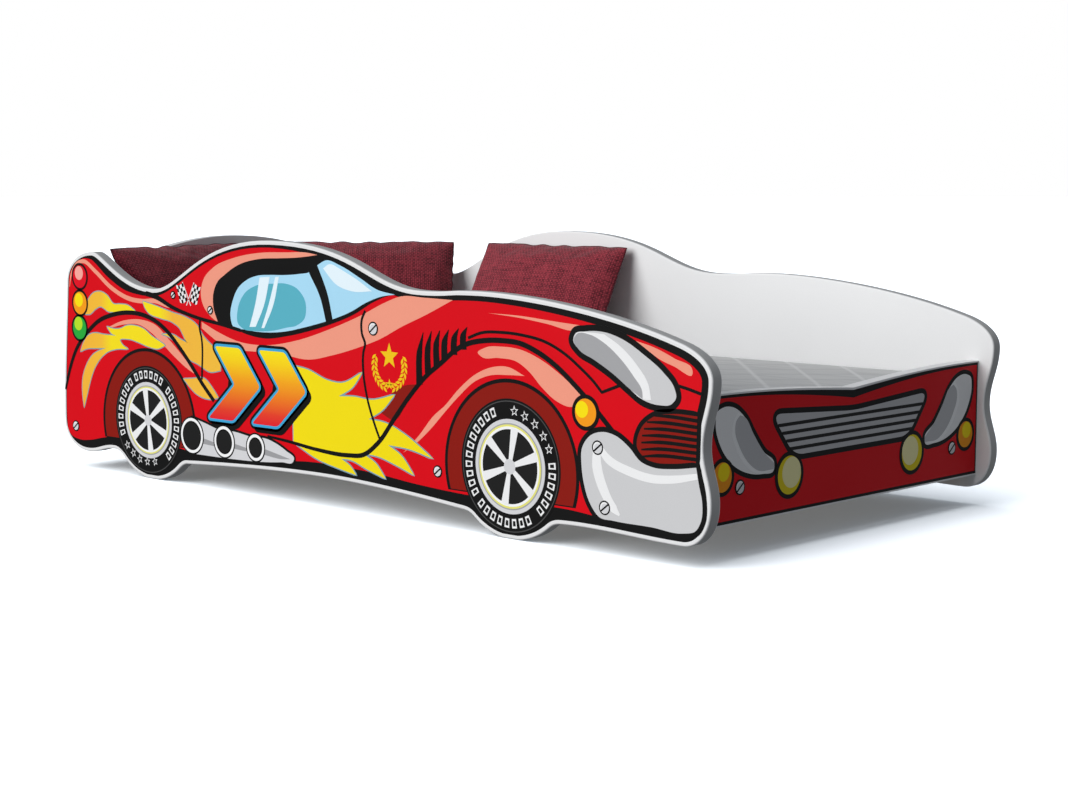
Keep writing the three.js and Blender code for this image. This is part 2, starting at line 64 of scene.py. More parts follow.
def sun(name, energy, angle, travel):
    """A far lamp: its strength, its width in degrees and the direction in which its light travels."""
    made = bpy.data.objects.new(name, bpy.data.lights.new(name, "SUN"))
    bpy.context.scene.collection.objects.link(made)
    made.data.energy = energy
    made.data.angle = math.radians(angle)
    made.rotation_euler = Vector(travel).to_track_quat("-Z", "Y").to_euler()
    return made


sun("lamp", 3.1, 50, (0.27, 0.86, -0.36))


def node(tree, kind, **values):
    """A new node, with its named inputs and settings set."""
    made = tree.nodes.new(kind)
    for name, value in values.items():
        if name in made.inputs:
            made.inputs[name].default_value = value
        else:
            setattr(made, name, value)
    return made


def math_node(tree, operation, first, second=None):
    """A math node on two numbers or outputs."""
    made = node(tree, "ShaderNodeMath", operation=operation)
    for socket, value in zip(made.inputs, (first, second)):
        if isinstance(value, (int, float)):
            socket.default_value = value
        elif value is not None:
            tree.links.new(value, socket)
    return made.outputs[0]


def mixed(tree, share, first, second, blend="MIX"):
    """A colour mix. The share and both colours may be values or outputs."""
    made = node(tree, "ShaderNodeMix", data_type="RGBA", blend_type=blend)
    for socket, value in ((made.inputs[0], share), (made.inputs[6], first), (made.inputs[7], second)):
        if isinstance(value, bpy.types.NodeSocket):
            tree.links.new(value, socket)
        else:
            socket.default_value = value
    return made.outputs[2]


def ramped(tree, value, low, high, to_low, to_high):
    """A value stretched from one range to another and held there."""
    made = node(tree, "ShaderNodeMapRange")
    for socket, number in zip(list(made.inputs)[1:5], (low, high, to_low, to_high)):
        socket.default_value = number
    tree.links.new(value, made.inputs[0])
    return made.outputs[0]


room = bpy.data.worlds.new("room")
bpy.context.scene.world = room
room.use_nodes = True
tree = room.node_tree
tree.nodes.clear()
seen = node(tree, "ShaderNodeBackground", Color=(1, 1, 1, 1), Strength=1.0)
dim = node(tree, "ShaderNodeBackground", Strength=1.0)
apart = node(tree, "ShaderNodeSeparateXYZ")
tree.links.new(node(tree, "ShaderNodeTexCoord").outputs["Generated"], apart.inputs[0])
upwards = ramped(tree, apart.outputs["Z"], -0.2, 0.6, 0.14, 0.25)
nose_end = ramped(tree, apart.outputs["X"], 0.2, 1.0, 1.0, 0.9)
far_side = ramped(tree, apart.outputs["Y"], 0.1, 0.9, 1.0, 2.4)
strength = math_node(tree, "MULTIPLY", math_node(tree, "MULTIPLY", upwards, nose_end), far_side)
tree.links.new(mixed(tree, 1.0, strength, (0.95, 1.0, 1.07, 1), "MULTIPLY"), dim.inputs["Color"])
both = node(tree, "ShaderNodeMixShader")
tree.links.new(node(tree, "ShaderNodeLightPath").outputs["Is Camera Ray"], both.inputs["Fac"])
tree.links.new(dim.outputs[0], both.inputs[1])
tree.links.new(seen.outputs[0], both.inputs[2])
tree.links.new(both.outputs[0], node(tree, "ShaderNodeOutputWorld").inputs[0])


def new_material(name):
    """A new material, its node tree and its shader."""
    made = bpy.data.materials.new(name)
    made.use_nodes = True
    return made, made.node_tree, made.node_tree.nodes["Principled BSDF"]


FLOOR_RADIUS = 40.0
FLOOR_SUNK = 0.0002
around = np.linspace(0, 2 * np.pi, 64, endpoint=False)
floor_rim = FLOOR_RADIUS * np.stack([np.cos(around), np.sin(around), 0 * around], 1) - (0, 0, FLOOR_SUNK)
floor_mesh = bpy.data.meshes.new("floor")
floor_mesh.from_pydata(floor_rim.tolist(), [], [list(range(len(floor_rim)))])
floor = bpy.data.objects.new("floor", floor_mesh)
bpy.context.scene.collection.objects.link(floor)
floor.visible_diffuse = False
floor.visible_glossy = False
floor_paint, _, shader = new_material("floor")
shader.inputs["Base Color"].default_value = (0.9, 0.935, 0.965, 1)
shader.inputs["Roughness"].default_value = 1.0
shader.inputs["Specular IOR Level"].default_value = 0.0
shader.inputs["Emission Color"].default_value = (0.8, 0.95, 1.1, 1)
shader.inputs["Emission Strength"].default_value = 0.09
floor_mesh.materials.append(floor_paint)

overhead = sun("overhead", 3.45, 70, (0.22, 0.3, -1))
overhead.data.color = (0.96, 0.98, 1.0)
only_floor = bpy.data.collections.new("lit_from_overhead")
only_floor.objects.link(floor)
overhead.light_linking.receiver_collection = only_floor

# ---------------------------------------------------------------- side panels
# Two boards of white-lacquered fibreboard, 22 mm thick, routed to the outline of a racing car, with the edges
# rounded off. Lengths are in millimetres, forwards from the rear wheel's centre and up from the floor.
MM = 0.001
low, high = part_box("side_panel_right")
REAR_WHEEL_X = low.x + 258 * MM
TAIL, NOSE, FRONT_WHEEL, REAR_LOBE = -258.0, 1254.0, 880.0, 8.0
LOBE_RADIUS, LOBE_HEIGHT, LOBE_REACH = 124.5, 123.6, 38.0


def pen_path(knots, steps=20):
    """Points along a drawn line. A knot is (along, up, heading in degrees, share before, share after).
    Between two knots the line is the cubic that keeps each heading for its share of the straight distance."""
    knots = np.array(knots, float)
    start, end = knots[:-1], knots[1:]
    span = np.linalg.norm((end - start)[:, :2], axis=1)[:, None]
    leave, arrive = np.radians(start[:, 2:3]), np.radians(end[:, 2:3])
    a, d = start[:, :2], end[:, :2]
    b = a + start[:, 4:5] * span * np.hstack([np.cos(leave), np.sin(leave)])
    c = d - end[:, 3:4] * span * np.hstack([np.cos(arrive), np.sin(arrive)])
    t = np.linspace(0, 1, steps, endpoint=False)[None, :, None]
    a, b, c, d = a[:, None], b[:, None], c[:, None], d[:, None]
    line = (1 - t) ** 3 * a + 3 * t * (1 - t) ** 2 * b + 3 * t * t * (1 - t) * c + t ** 3 * d
    return line.reshape(-1, 2)


def lobe_end(middle, side):
    """The knot where a wheel's circle starts (side -1) or ends (side 1), 38 degrees from its lowest point."""
    reach = math.radians(LOBE_REACH)
    return (
        middle + side * LOBE_RADIUS * math.sin(reach),
        LOBE_HEIGHT - LOBE_RADIUS * math.cos(reach),
        side * LOBE_REACH,
        0.35,
        0.35,
    )


def wheel_lobe(middle):
    """The lowest part of a wheel: points on its circle, cut off flat where it stands on the floor."""
    turn = np.radians(np.linspace(-LOBE_REACH, LOBE_REACH, 33))[:-1]
    return np.stack([
        middle + LOBE_RADIUS * np.sin(turn),
        np.maximum(LOBE_HEIGHT - LOBE_RADIUS * np.cos(turn), 0),
    ], 1)


TAIL_CORNER = (TAIL + 73, 31, 0, 0.38, 0.4)
NOSE_BULGE = (NOSE - 1, 90, 90, 0.45, 0.38)
TAIL_FOOT = (TAIL, 88, 270, 0.33, 0.43)
lower_edge = np.concatenate([
    pen_path([TAIL_CORNER, (REAR_LOBE - 112, 43, 0, 0.4, 0.35), lobe_end(REAR_LOBE, -1)]),
    wheel_lobe(REAR_LOBE),
    pen_path([
        lobe_end(REAR_LOBE, 1),
        (REAR_LOBE + 99, 36, 3.5, 0.35, 0.33),
        ((REAR_LOBE + FRONT_WHEEL) / 2 + 16, 49.5, 0, 0.33, 0.33),
        (FRONT_WHEEL - 99, 33, -4.5, 0.33, 0.35),
        lobe_end(FRONT_WHEEL, -1),
    ]),
    wheel_lobe(FRONT_WHEEL),
    pen_path([
        lobe_end(FRONT_WHEEL, 1),
        (FRONT_WHEEL + 99, 33.5, 3, 0.35, 0.33),
        (NOSE - 50, 29.5, 0, 0.33, 0.38),
        NOSE_BULGE,
    ]),
])
upper_edge = pen_path([
    NOSE_BULGE,
    (NOSE - 16, 168, 90, 0.38, 0.38),
    (NOSE, 258, 90, 0.38, 0.33),
    (NOSE - 56, 308, 163, 0.4, 0.36),
    (FRONT_WHEEL - 63, 363, 180, 0.21, 0.65),
    (FRONT_WHEEL - 185, 359, 180, 0.55, 0.33),
    (338, 427, 180, 0.6, 0.58),
    (19, 335.5, 180, 0.22, 0.5),
    (-160, 395.5, 180, 0.15, 0.46),
    (TAIL + 17, 341.5, 266, 0.31, 0.33),
    TAIL_FOOT,
])
panel_outline = np.concatenate([lower_edge, upper_edge, pen_path([TAIL_FOOT, TAIL_CORNER])])


def moved_in(loop, distance):
    """A counterclockwise loop moved inwards along its own normals, by one distance or by one a point."""
    edge = np.roll(loop, -1, 0) - loop
    edge /= np.linalg.norm(edge, axis=1, keepdims=True)
    along = edge + np.roll(edge, 1, 0)
    along /= np.maximum(np.linalg.norm(along, axis=1, keepdims=True), 1e-6)
    inwards = np.stack([-along[:, 1], along[:, 0]], 1)
    return loop + inwards * np.reshape(distance, (-1, 1))


def piece(name, points, faces, smooth=None):
    """A new object at the origin from its points in metres and its faces."""
    mesh = bpy.data.meshes.new(name)
    mesh.from_pydata(np.asarray(points).tolist(), [], faces)
    if smooth is not None:
        mesh.polygons.foreach_set("use_smooth", smooth)
    made = bpy.data.objects.new(name, mesh)
    bpy.context.scene.collection.objects.link(made)
    return made


def board(name, loop, near_y, far_y, radius):
    """A board: its outline is carried from one face to the other, drawn in at both faces along a quarter
    circle. loop runs counterclockwise seen along +Y."""
    turn = np.radians(np.linspace(0, 90, 6))
    drawn = radius * (1 - np.sin(turn))
    sunk = radius * (1 - np.cos(turn))
    thickness = (far_y - near_y) / MM
    rings = [moved_in(loop, d) for d in (*drawn, *drawn[::-1])]
    depths = (*sunk, *(thickness - sunk[::-1]))
    points = np.concatenate([
        np.stack([
            REAR_WHEEL_X + ring[:, 0] * MM,
            np.full(len(ring), near_y + depth * MM),
            ring[:, 1] * MM,
        ], 1)
        for ring, depth in zip(rings, depths)
    ])
    count, levels = len(loop), len(rings)
    ring = np.arange(count)
    ahead = np.roll(ring, -1)
    start = np.arange(levels - 1)[:, None] * count
    walls = np.stack([start + ring, start + count + ring, start + count + ahead, start + ahead], 2)
    walls = walls.reshape(-1, 4)
    faces = walls.tolist() + [ring.tolist(), ((levels - 1) * count + ring[::-1]).tolist()]
    made = piece(name, points, faces, [True] * len(walls) + [False, False])
    made.data.materials.append(white_lacquer)
    made.data.materials.append(edge_shade_lacquer)
    # The middle band of every edge takes the grey edge lacquer, whose grey is painted shade.
    band = np.arange(len(faces)) // count == levels // 2 - 1
    made.data.polygons.foreach_set("material_index", band.astype(int))
    return made


def surface_group(name, inputs, outputs):
    """An empty node group with its input and output nodes. A socket is its name, its kind and, going in, its
    value."""
    group = bpy.data.node_groups.new(name, "ShaderNodeTree")
    for label, kind, value in inputs:
        socket = group.interface.new_socket(label, in_out="INPUT", socket_type=kind)
        socket.default_value = value
    for label, kind in outputs:
        group.interface.new_socket(label, in_out="OUTPUT", socket_type=kind)
    return group, node(group, "NodeGroupInput"), node(group, "NodeGroupOutput")


def noise(tree, place, scale, detail=2.0, roughness=0.5):
    """Cloudy noise from 0 to 1 at a place, with so many clouds to the metre."""
    made = node(tree, "ShaderNodeTexNoise", Scale=scale, Detail=detail, Roughness=roughness)
    tree.links.new(place, made.inputs["Vector"])
    return made.outputs["Fac"]


def bump(tree, height, strength, distance):
    """The normal of a surface raised by the height times the distance, in metres."""
    made = node(tree, "ShaderNodeBump", Strength=strength, Distance=distance)
    tree.links.new(height, made.inputs["Height"])
    return made.outputs["Normal"]


def surfaced(tree, face, shader):
    """Joins a placed group's colour, roughness and normal to the shader."""
    for given_out, taken_in in (("Colour", "Base Color"), ("Roughness", "Roughness"), ("Normal", "Normal")):
        tree.links.new(face.outputs[given_out], shader.inputs[taken_in])


def srgb(code):
    """A colour written as six hexadecimal digits, as linear values."""
    parts = np.array([int(code[i:i + 2], 16) for i in (0, 2, 4)]) / 255
    linear = np.where(parts <= 0.04045, parts / 12.92, ((parts + 0.055) / 1.055) ** 2.4)
    return (*linear.tolist(), 1.0)


# Sprayed or printed faces have a fine orange peel, a slow drift in shade and slightly uneven gloss.
paint_group, given, put = surface_group(
    "painted_face",
    [("Colour", "NodeSocketColor", (0.8, 0.8, 0.8, 1)), ("Drift", "NodeSocketFloat", 0.06),
     ("Gloss", "NodeSocketFloat", 0.35)],
    [("Colour", "NodeSocketColor"), ("Roughness", "NodeSocketFloat"), ("Normal", "NodeSocketVector")],
)
where = node(paint_group, "ShaderNodeTexCoord").outputs["Object"]
slow = noise(paint_group, where, 5.5, 3.0)
grain = noise(paint_group, where, 620.0, 2.0)
shade = math_node(paint_group, "MULTIPLY", math_node(paint_group, "ADD", slow, grain), 0.5)
darker = mixed(paint_group, 1.0, given.outputs["Colour"], (0.55, 0.55, 0.57, 1), "MULTIPLY")
drift = ramped(paint_group, shade, 0.35, 0.65, 0.0, 2.0)
share = math_node(paint_group, "MULTIPLY", drift, given.outputs["Drift"])
paint_group.links.new(mixed(paint_group, share, given.outputs["Colour"], darker), put.inputs["Colour"])
uneven = ramped(paint_group, slow, 0.35, 0.65, -0.04, 0.04)
paint_group.links.new(math_node(paint_group, "ADD", uneven, given.outputs["Gloss"]), put.inputs["Roughness"])
peel = noise(paint_group, where, 260.0, 1.0)
paint_group.links.new(bump(paint_group, peel, 0.08, 0.0004), put.inputs["Normal"])


def painted(name, colour, drift=0.06, gloss=0.35, shine=0.08):
    """A sprayed or printed finish. colour is six hexadecimal digits, or makes an output in the tree."""
    made, tree, shader = new_material(name)
    face = node(tree, "ShaderNodeGroup", node_tree=paint_group, Drift=drift, Gloss=gloss)
    if callable(colour):
        tree.links.new(colour(tree), face.inputs["Colour"])
    else:
        face.inputs["Colour"].default_value = srgb(colour)
    surfaced(tree, face, shader)
    shader.inputs["Specular IOR Level"].default_value = shine
    return made


white_lacquer = painted("white_lacquer", "E4E4E4", 0.04, 0.38, shine=0.3)
# The edge lacquer's grey is painted shade: it keeps the boards' edges darker than their white faces.
edge_shade_lacquer = painted("edge_shade_lacquer", "B4B4B3", 0.08, 0.5, shine=0.2)

EDGE_RADIUS = 2.5
for side in ("right", "left"):
    low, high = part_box(f"side_panel_{side}")
    panel = board(f"panel_{side}", panel_outline, low.y, high.y, EDGE_RADIUS)
    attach(panel, "bed_frame")
    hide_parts(f"side_panel_{side}")

# ---------------------------------------------------------------- headboard and front board
# Both end boards are the same lacquered fibreboard. They keep their own drilled solids, with edges broken by
# 0.8 mm.
def finished(solid, material):
    """Gives a solid one material in place of its own."""
    solid.data.materials.clear()
    solid.data.materials.append(material)


for name in ("headboard", "front_board"):
    end_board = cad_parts[name]
    finished(end_board, white_lacquer)
    joined = end_board.modifiers.new("joined", "WELD")
    joined.merge_threshold = 0.00002
    broken = end_board.modifiers.new("broken_edges", "BEVEL")
    broken.width = 0.0008
    broken.segments = 2
    broken.limit_method = "ANGLE"
    broken.angle_limit = math.radians(50)

# ---------------------------------------------------------------- printed sides: ground
# The outer faces carry a picture of a racing car, printed in flat inks with heavy black lines. It stops short
# of the edge, so that a white rim shows all round. Every printed shape is a film of a tenth of a millimetre.
FILM = 0.1
side_print = []


def printed(shapes, ink, layer, *loops):
    """Adds shapes in one ink to a list. Each is turned to run counterclockwise."""
    for loop in loops:
        loop = np.asarray(loop, float)
        ahead = np.roll(loop, -1, 0)
        area = np.sum(loop[:, 0] * ahead[:, 1] - ahead[:, 0] * loop[:, 1])
        shapes.append((ink, layer, loop if area > 0 else loop[::-1]))


def through(points, corners=(), steps=7, closed=True):
    """A smooth line through the points. Each stretch is the Hermite cubic whose slope at a point is the mean
    of its two chords' slopes, the nearer chord counting more. At a corner each side keeps its own slope."""
    points = np.array(points, float)
    chord = (np.roll(points, -1, 0) - points) if closed else np.diff(points, axis=0)
    length = np.maximum(np.linalg.norm(chord, axis=1, keepdims=True), 1e-6)
    slope = chord / length
    if closed:
        before, after, reach, ahead = np.roll(slope, 1, 0), slope, np.roll(length, 1, 0), length
    else:
        before, after = np.vstack([slope[:1], slope]), np.vstack([slope, slope[-1:]])
        reach, ahead = np.vstack([length[:1], length]), np.vstack([length, length[-1:]])
    mean = (before * ahead + after * reach) / (ahead + reach)
    leave, arrive = mean.copy(), mean.copy()
    for i in corners:
        leave[i], arrive[i] = after[i], before[i]
    stretches = len(chord)
    a = points[:stretches, None]
    d = np.roll(points, -1, 0)[:stretches, None]
    m = (leave[:stretches] * length)[:, None]
    n = (np.roll(arrive, -1, 0)[:stretches] * length)[:, None]
    t = np.linspace(0, 1, steps, endpoint=False)[None, :, None]
    line = (2 * t**3 - 3 * t**2 + 1) * a + (t**3 - 2 * t**2 + t) * m
    line = (line + (3 * t**2 - 2 * t**3) * d + (t**3 - t**2) * n).reshape(-1, 2)
    return line if closed else np.vstack([line, points[-1]])


def stroke(points, widths, corners=(), steps=7):
    """The outline of a drawn line: a smooth line moved to both sides by half its width there."""
    line = through(points, corners, steps, closed=False)
    stations = np.linspace(0, len(line) - 1, np.size(widths)) if np.size(widths) > 1 else [0]
    width = np.interp(np.arange(len(line)), stations, np.atleast_1d(widths))[:, None]
    along = np.gradient(line, axis=0)
    along /= np.linalg.norm(along, axis=1, keepdims=True)
    across = np.stack([-along[:, 1], along[:, 0]], 1) * width / 2
    return np.vstack([line + across, (line - across)[::-1]])


def widened(loop, distance):
    """A loop of either sense moved outwards. Points that end up nearer the old line than that, as they do
    where the line turns sharply inwards, are left out."""
    ahead = np.roll(loop, -1, 0)
    if np.sum(loop[:, 0] * ahead[:, 1] - ahead[:, 0] * loop[:, 1]) < 0:
        loop = loop[::-1]
        ahead = np.roll(loop, -1, 0)
    moved = moved_in(loop, -distance)
    chord = (ahead - loop)[None]
    from_start = moved[:, None] - loop[None]
    share = np.sum(from_start * chord, 2) / np.maximum(np.sum(chord * chord, 2), 1e-9)
    gap = np.linalg.norm(from_start - np.clip(share, 0, 1)[..., None] * chord, axis=2).min(1)
    return moved[gap > 0.93 * distance]


def disc(x, z, radius, count=40):
    """A circle, as so many points."""
    turn = np.linspace(0, 2 * np.pi, count, endpoint=False)
    return np.stack([x + radius * np.cos(turn), z + radius * np.sin(turn)], 1)


STOPS_SHORT = 6.5
top_start, top_end = len(lower_edge), len(lower_edge) + len(upper_edge)
LINE_X = [
    -258, -200, -185, -150, -110, -60, -20, 20, 60, 200, 340, 450, 600, 700, 817, 1000, 1150, 1230, 1254,
]
LINE_DEPTH = [8.5, 9, 9.5, 16, 20, 19.5, 15, 12.5, 11, 11, 11.5, 14, 16.5, 14.5, 14.5, 16, 17, 18, 18]
depth = np.interp(panel_outline[:, 0], LINE_X, LINE_DEPTH)
under_line = moved_in(panel_outline, depth)[top_start:top_end]
ground_foot = through([
    (-248, 72), (-243, 62), (-232, 55), (-212, 51), (-176, 53), (-140, 60), (-104, 66), (0, 68), (104, 60),
    (150, 55), (250, 55), (330, 60), (394, 69), (452, 72), (524, 71), (596, 68), (668, 62), (740, 58),
    (850, 55), (1000, 57), (1055, 53), (1130, 51), (1206, 48), (1226, 54), (1236, 70),
], closed=False)
printed(side_print, "black", 1, moved_in(panel_outline, STOPS_SHORT))
printed(side_print, "red", 2, np.vstack([ground_foot, under_line]))

# ---------------------------------------------------------------- printed sides: tail
# Three round lamps down the tail, pale glints along the fin, and yellow flames that lick forwards over the
# rear wing, edged in a thin blue-grey line.
for x, z, lamp_ink, glint_ink, glint in (
    (-198, 349.5, "lamp_red", "pink", (-200, 356)),
    (-199, 301.6, "amber", "yellow", (-202, 307)),
    (-202, 256, "green", "lime", (-205, 264)),
):
    printed(side_print, "black", 6, disc(x, z, 25))
    printed(side_print, lamp_ink, 7, disc(x, z, 20.5))
    printed(side_print, glint_ink, 8, disc(*glint, 12.5))

fin_glint = [(-231, 330), (-225, 352), (-205, 374), (-187, 378), (-150, 361), (-104, 334), (-50, 316),
             (-10, 313), (26, 315), (60, 308), (92, 304)]
printed(side_print, "salmon", 3, stroke(fin_glint, [1, 4, 6, 7, 8, 8, 8, 8, 8, 6, 1]))
wing_glint = [(-120, 260), (-68, 276), (-10, 280), (26, 273), (62, 251), (98, 226), (141, 192), (112, 203),
              (76, 222), (40, 244), (15, 258), (-21, 271), (-68, 269), (-104, 262)]
printed(side_print, "salmon", 3, through(wing_glint, (0, 6)))

FLAMES = (
    ([(-183, 282), (-176, 305), (-158, 321), (-136, 325), (-115, 319), (-97, 305), (-75, 305), (-54, 304),
      (-32, 295), (-68, 294), (-97, 290), (-115, 291), (-124, 295), (-136, 298), (-151, 293), (-169, 283)],
     (0, 8)),
    ([(-201, 213), (-194, 226), (-176, 244), (-158, 249), (-126, 248), (-90, 248), (-104, 251), (-118, 263),
      (-97, 260), (-75, 262), (-61, 267), (-36, 269), (-7, 264), (15, 253), (40, 244), (53, 239), (33, 232),
      (4, 234), (-25, 240), (-54, 244), (-79, 240), (-72, 233), (-55, 226), (-90, 224), (-118, 217),
      (-140, 204), (-158, 186), (-176, 154), (-185, 132), (-194, 111), (-198, 136), (-196, 165),
      (-183, 190), (-165, 208), (-140, 219), (-122, 224), (-151, 222), (-183, 219)],
     (0, 5, 7, 15, 22, 29, 35)),
    ([(-9, 313), (26, 307), (76, 297), (112, 291), (144, 278), (159, 262), (184, 246), (205, 236), (205, 205),
      (177, 201), (144, 212), (120, 219), (100, 233), (80, 247), (62, 255), (43, 258), (75, 259), (100, 251),
      (130, 244), (113, 249), (104, 260), (96, 270), (76, 280), (40, 286), (6, 294), (-6, 306)],
     (0, 7, 8, 15, 18)),
    ([(103, 184), (126, 186), (162, 188), (184, 172), (198, 158), (173, 154), (137, 161),
      (116, 174)], (0, 4)),
)
for points, corners in FLAMES:
    flame = through(points, corners)
    printed(side_print, "flame_edge", 4, widened(flame, 1.8))
    printed(side_print, "flame", 5, flame)

rear_wing_line = [(-251, 140), (-246, 154), (-234, 183), (-212, 219), (-176, 251), (-140, 273), (-104, 284),
                  (-54, 291), (-10, 289), (26, 280), (62, 262), (94, 237), (126, 208), (155, 179), (186, 152)]
printed(side_print, "black", 6, stroke(rear_wing_line, [5, 8, 8, 8, 8, 8, 8, 8]))
printed(side_print, "black", 6, stroke(
    [(0, 327), (26, 323), (76, 306), (148, 291), (213, 283), (260, 276)], [9, 9, 7, 6, 6, 6]))

# ---------------------------------------------------------------- printed sides: window
# Blue glass in a black surround with a glint over it. One slim pillar divides the glass, and plain
# reflections cross it.
window_glint = [(213, 282), (180, 296), (162, 312), (155, 330), (162, 356), (191, 379), (240, 395),
                (308, 406), (380, 409), (430, 410), (456, 407), (430, 395), (330, 385), (250, 360),
                (215, 330)]
printed(side_print, "salmon", 3, through(window_glint, (0, 10)))
surround_top = [(200, 287), (189, 310), (189, 334), (202, 356), (218, 366), (254, 384), (308, 396),
                (362, 399), (402, 401), (434, 404)]
surround_foot = [(654, 349), (632, 350), (589, 338), (542, 316), (488, 298), (434, 284), (380, 273),
                 (326, 266), (272, 271), (240, 279)]
beside_rim = moved_in(panel_outline, 8)[top_start:top_end]
beside_rim = beside_rim[(beside_rim[:, 0] > 450) & (beside_rim[:, 0] < 660)][::-1]
printed(side_print, "black", 4, np.vstack([
    through(surround_top, closed=False), beside_rim, through(surround_foot, closed=False)]))
glass = [(240, 282), (234, 302), (240, 323), (254, 345), (279, 361), (308, 369), (337, 371), (372, 372),
         (410, 375), (440, 380), (459, 392), (477, 399), (510, 392), (556, 374), (596, 357), (636, 351),
         (607, 347), (571, 336), (535, 320), (488, 305), (452, 296), (416, 288), (380, 281), (344, 277),
         (308, 276), (272, 278)]
printed(side_print, "glass", 5, through(glass, (15,)))
seats = [(254, 287), (254, 312), (272, 338), (301, 352), (344, 357), (380, 358), (408, 350), (426, 330),
         (424, 305), (402, 291), (380, 287), (344, 280), (301, 277), (265, 280)]
printed(side_print, "teal", 6, through(seats))
printed(side_print, "glass_glint", 7,
        through([(312, 366), (338, 368), (322, 320), (300, 284), (284, 283), (300, 322)], (0, 1, 3, 4)),
        through([(352, 368), (361, 369), (346, 322), (322, 283), (315, 283), (334, 322)], (0, 1, 3, 4)),
        through([(470, 386), (484, 393), (512, 386), (552, 370), (584, 354), (540, 352),
                 (500, 362)], (0, 2, 4)))
printed(side_print, "black", 8, through([(436, 378), (455, 392), (480, 345), (492, 303), (476, 300),
                                        (462, 340)], (0, 1, 3, 4)))
waist_glint = [(156, 285), (200, 270), (254, 257), (326, 255), (398, 266), (488, 291), (560, 316), (614, 338),
               (650, 349), (700, 349), (762, 348), (704, 323), (650, 302), (600, 280), (560, 267), (488, 248),
               (434, 238), (362, 243), (200, 253), (156, 274)]
printed(side_print, "salmon", 3, through(waist_glint, (0, 10, 19)))

# ---------------------------------------------------------------- printed sides: door
# Thin door gaps, two speed arrows that shade from yellow to red where a start number would be, and a yellow
# swoosh behind them. Short pipes run along the sill below.
printed(side_print, "black", 7,
        stroke([(152, 289), (150, 276), (155, 258), (154, 186)], 4.5),
        stroke([(568, 323), (560, 309), (560, 287), (567, 271), (563, 258), (562, 230), (571, 186),
                (589, 143), (601, 120)], 4.5))


def speed_arrow(start):
    """A leaning chevron: its foot, elbow and shoulder. The lean is a share of the height above its middle."""
    corners = np.array([(66, 122), (128, 184), (66, 246), (0, 246), (62, 184), (0, 122)], float)
    corners[:, 0] += start + 0.16 * (corners[:, 1] - 184)
    return corners


def rounded(corners, radius, steps=6):
    """A many-sided shape with each corner replaced by a short curve that starts and ends a radius away.
    Points are added evenly along every stretch, for the outlines that are moved out from it."""
    behind = np.roll(corners, 1, 0) - corners
    ahead = np.roll(corners, -1, 0) - corners
    behind = corners + radius * behind / np.linalg.norm(behind, axis=1, keepdims=True)
    ahead = corners + radius * ahead / np.linalg.norm(ahead, axis=1, keepdims=True)
    t = np.linspace(0, 1, steps)[None, :, None]
    curves = (1 - t) ** 2 * behind[:, None] + 2 * t * (1 - t) * corners[:, None] + t * t * ahead[:, None]
    loop = curves.reshape(-1, 2)
    between = np.linspace(0, 1, 8, endpoint=False)[None, :, None]
    return (loop[:, None] * (1 - between) + np.roll(loop, -1, 0)[:, None] * between).reshape(-1, 2)


for start in (181, 297):
    arrow = rounded(speed_arrow(start), 7)
    printed(side_print, "black", 8, widened(arrow, 9), widened(arrow, 6) + (9, -8))
    printed(side_print, "sky_edge", 9, widened(arrow, 4.5))
    printed(side_print, "sunset", 10, arrow)

swoosh = through([
    (392, 226), (432, 221), (476, 208), (512, 206), (560, 226), (536, 200), (504, 184), (540, 186),
    (580, 184), (634, 196), (606, 170), (574, 153), (614, 150), (656, 136), (718, 104), (664, 114),
    (618, 116), (648, 102), (676, 74), (636, 86), (592, 96), (560, 97), (590, 84), (612, 62), (572, 72),
    (530, 84), (508, 84), (530, 74), (544, 61), (500, 68), (450, 78), (392, 100),
], (0, 4, 6, 9, 11, 14, 16, 18, 21, 23, 26, 28, 31))
printed(side_print, "flame_edge", 4, widened(swoosh, 2.2))
printed(side_print, "swoosh", 5, swoosh)

pods = through([
    (124, 56), (240, 57), (319, 60), (362, 64), (391, 68), (393, 72), (373, 84), (344, 95), (319, 100),
    (290, 99), (240, 104), (200, 104), (160, 112), (124, 119),
], (0, 13))
printed(side_print, "black", 6, widened(pods, 4))
printed(side_print, "silver", 7, pods)
printed(side_print, "grey", 8,
        through([(150, 86), (190, 80), (190, 74), (150, 76)], (0, 1, 2, 3)),
        through([(236, 84), (280, 78), (280, 73), (236, 75)], (0, 1, 2, 3)),
        through([(318, 82), (360, 75), (384, 71), (360, 69), (318, 72)], (0, 2, 4)))
for x, z, mouth in ((124, 87.4, 25), (212, 84.5, 21), (295, 82, 17)):
    printed(side_print, "black", 9, disc(x, z, mouth + 8))
    printed(side_print, "paper", 10, disc(x, z, mouth + 5.3))
    printed(side_print, "black", 11, disc(x, z, mouth + 0.4))
    printed(side_print, "soot", 12, disc(x, z, mouth - 2.2))

# ---------------------------------------------------------------- printed sides: front wing
# A heavy line runs from the sill over the front wheel. Vent slashes cut the bonnet above it, beside a small
# laurel wreath with a star, and pale glints follow the curves.
printed(side_print, "dark_red", 3, through(
    [(600, 166), (632, 201), (657, 212), (690, 216), (668, 196), (632, 156)], (0, 3)))
front_wing_line = [(326, 104), (380, 100), (452, 93), (524, 91), (560, 95), (596, 118), (632, 158),
                   (668, 197), (704, 230), (738, 253), (767, 273), (792, 284), (828, 291), (864, 293),
                   (900, 291), (936, 280), (972, 262), (1008, 237), (1044, 208), (1078, 178)]
printed(side_print, "black", 6, stroke(front_wing_line, [4, 7, 8, 8, 8, 8, 8, 8]))
bonnet_gap = [(794, 293), (821, 302), (864, 305), (907, 303), (950, 296), (986, 282), (1019, 262),
              (1044, 244), (1058, 231), (1091, 243)]
printed(side_print, "black", 6, stroke(bonnet_gap, 4.5, (8,)))
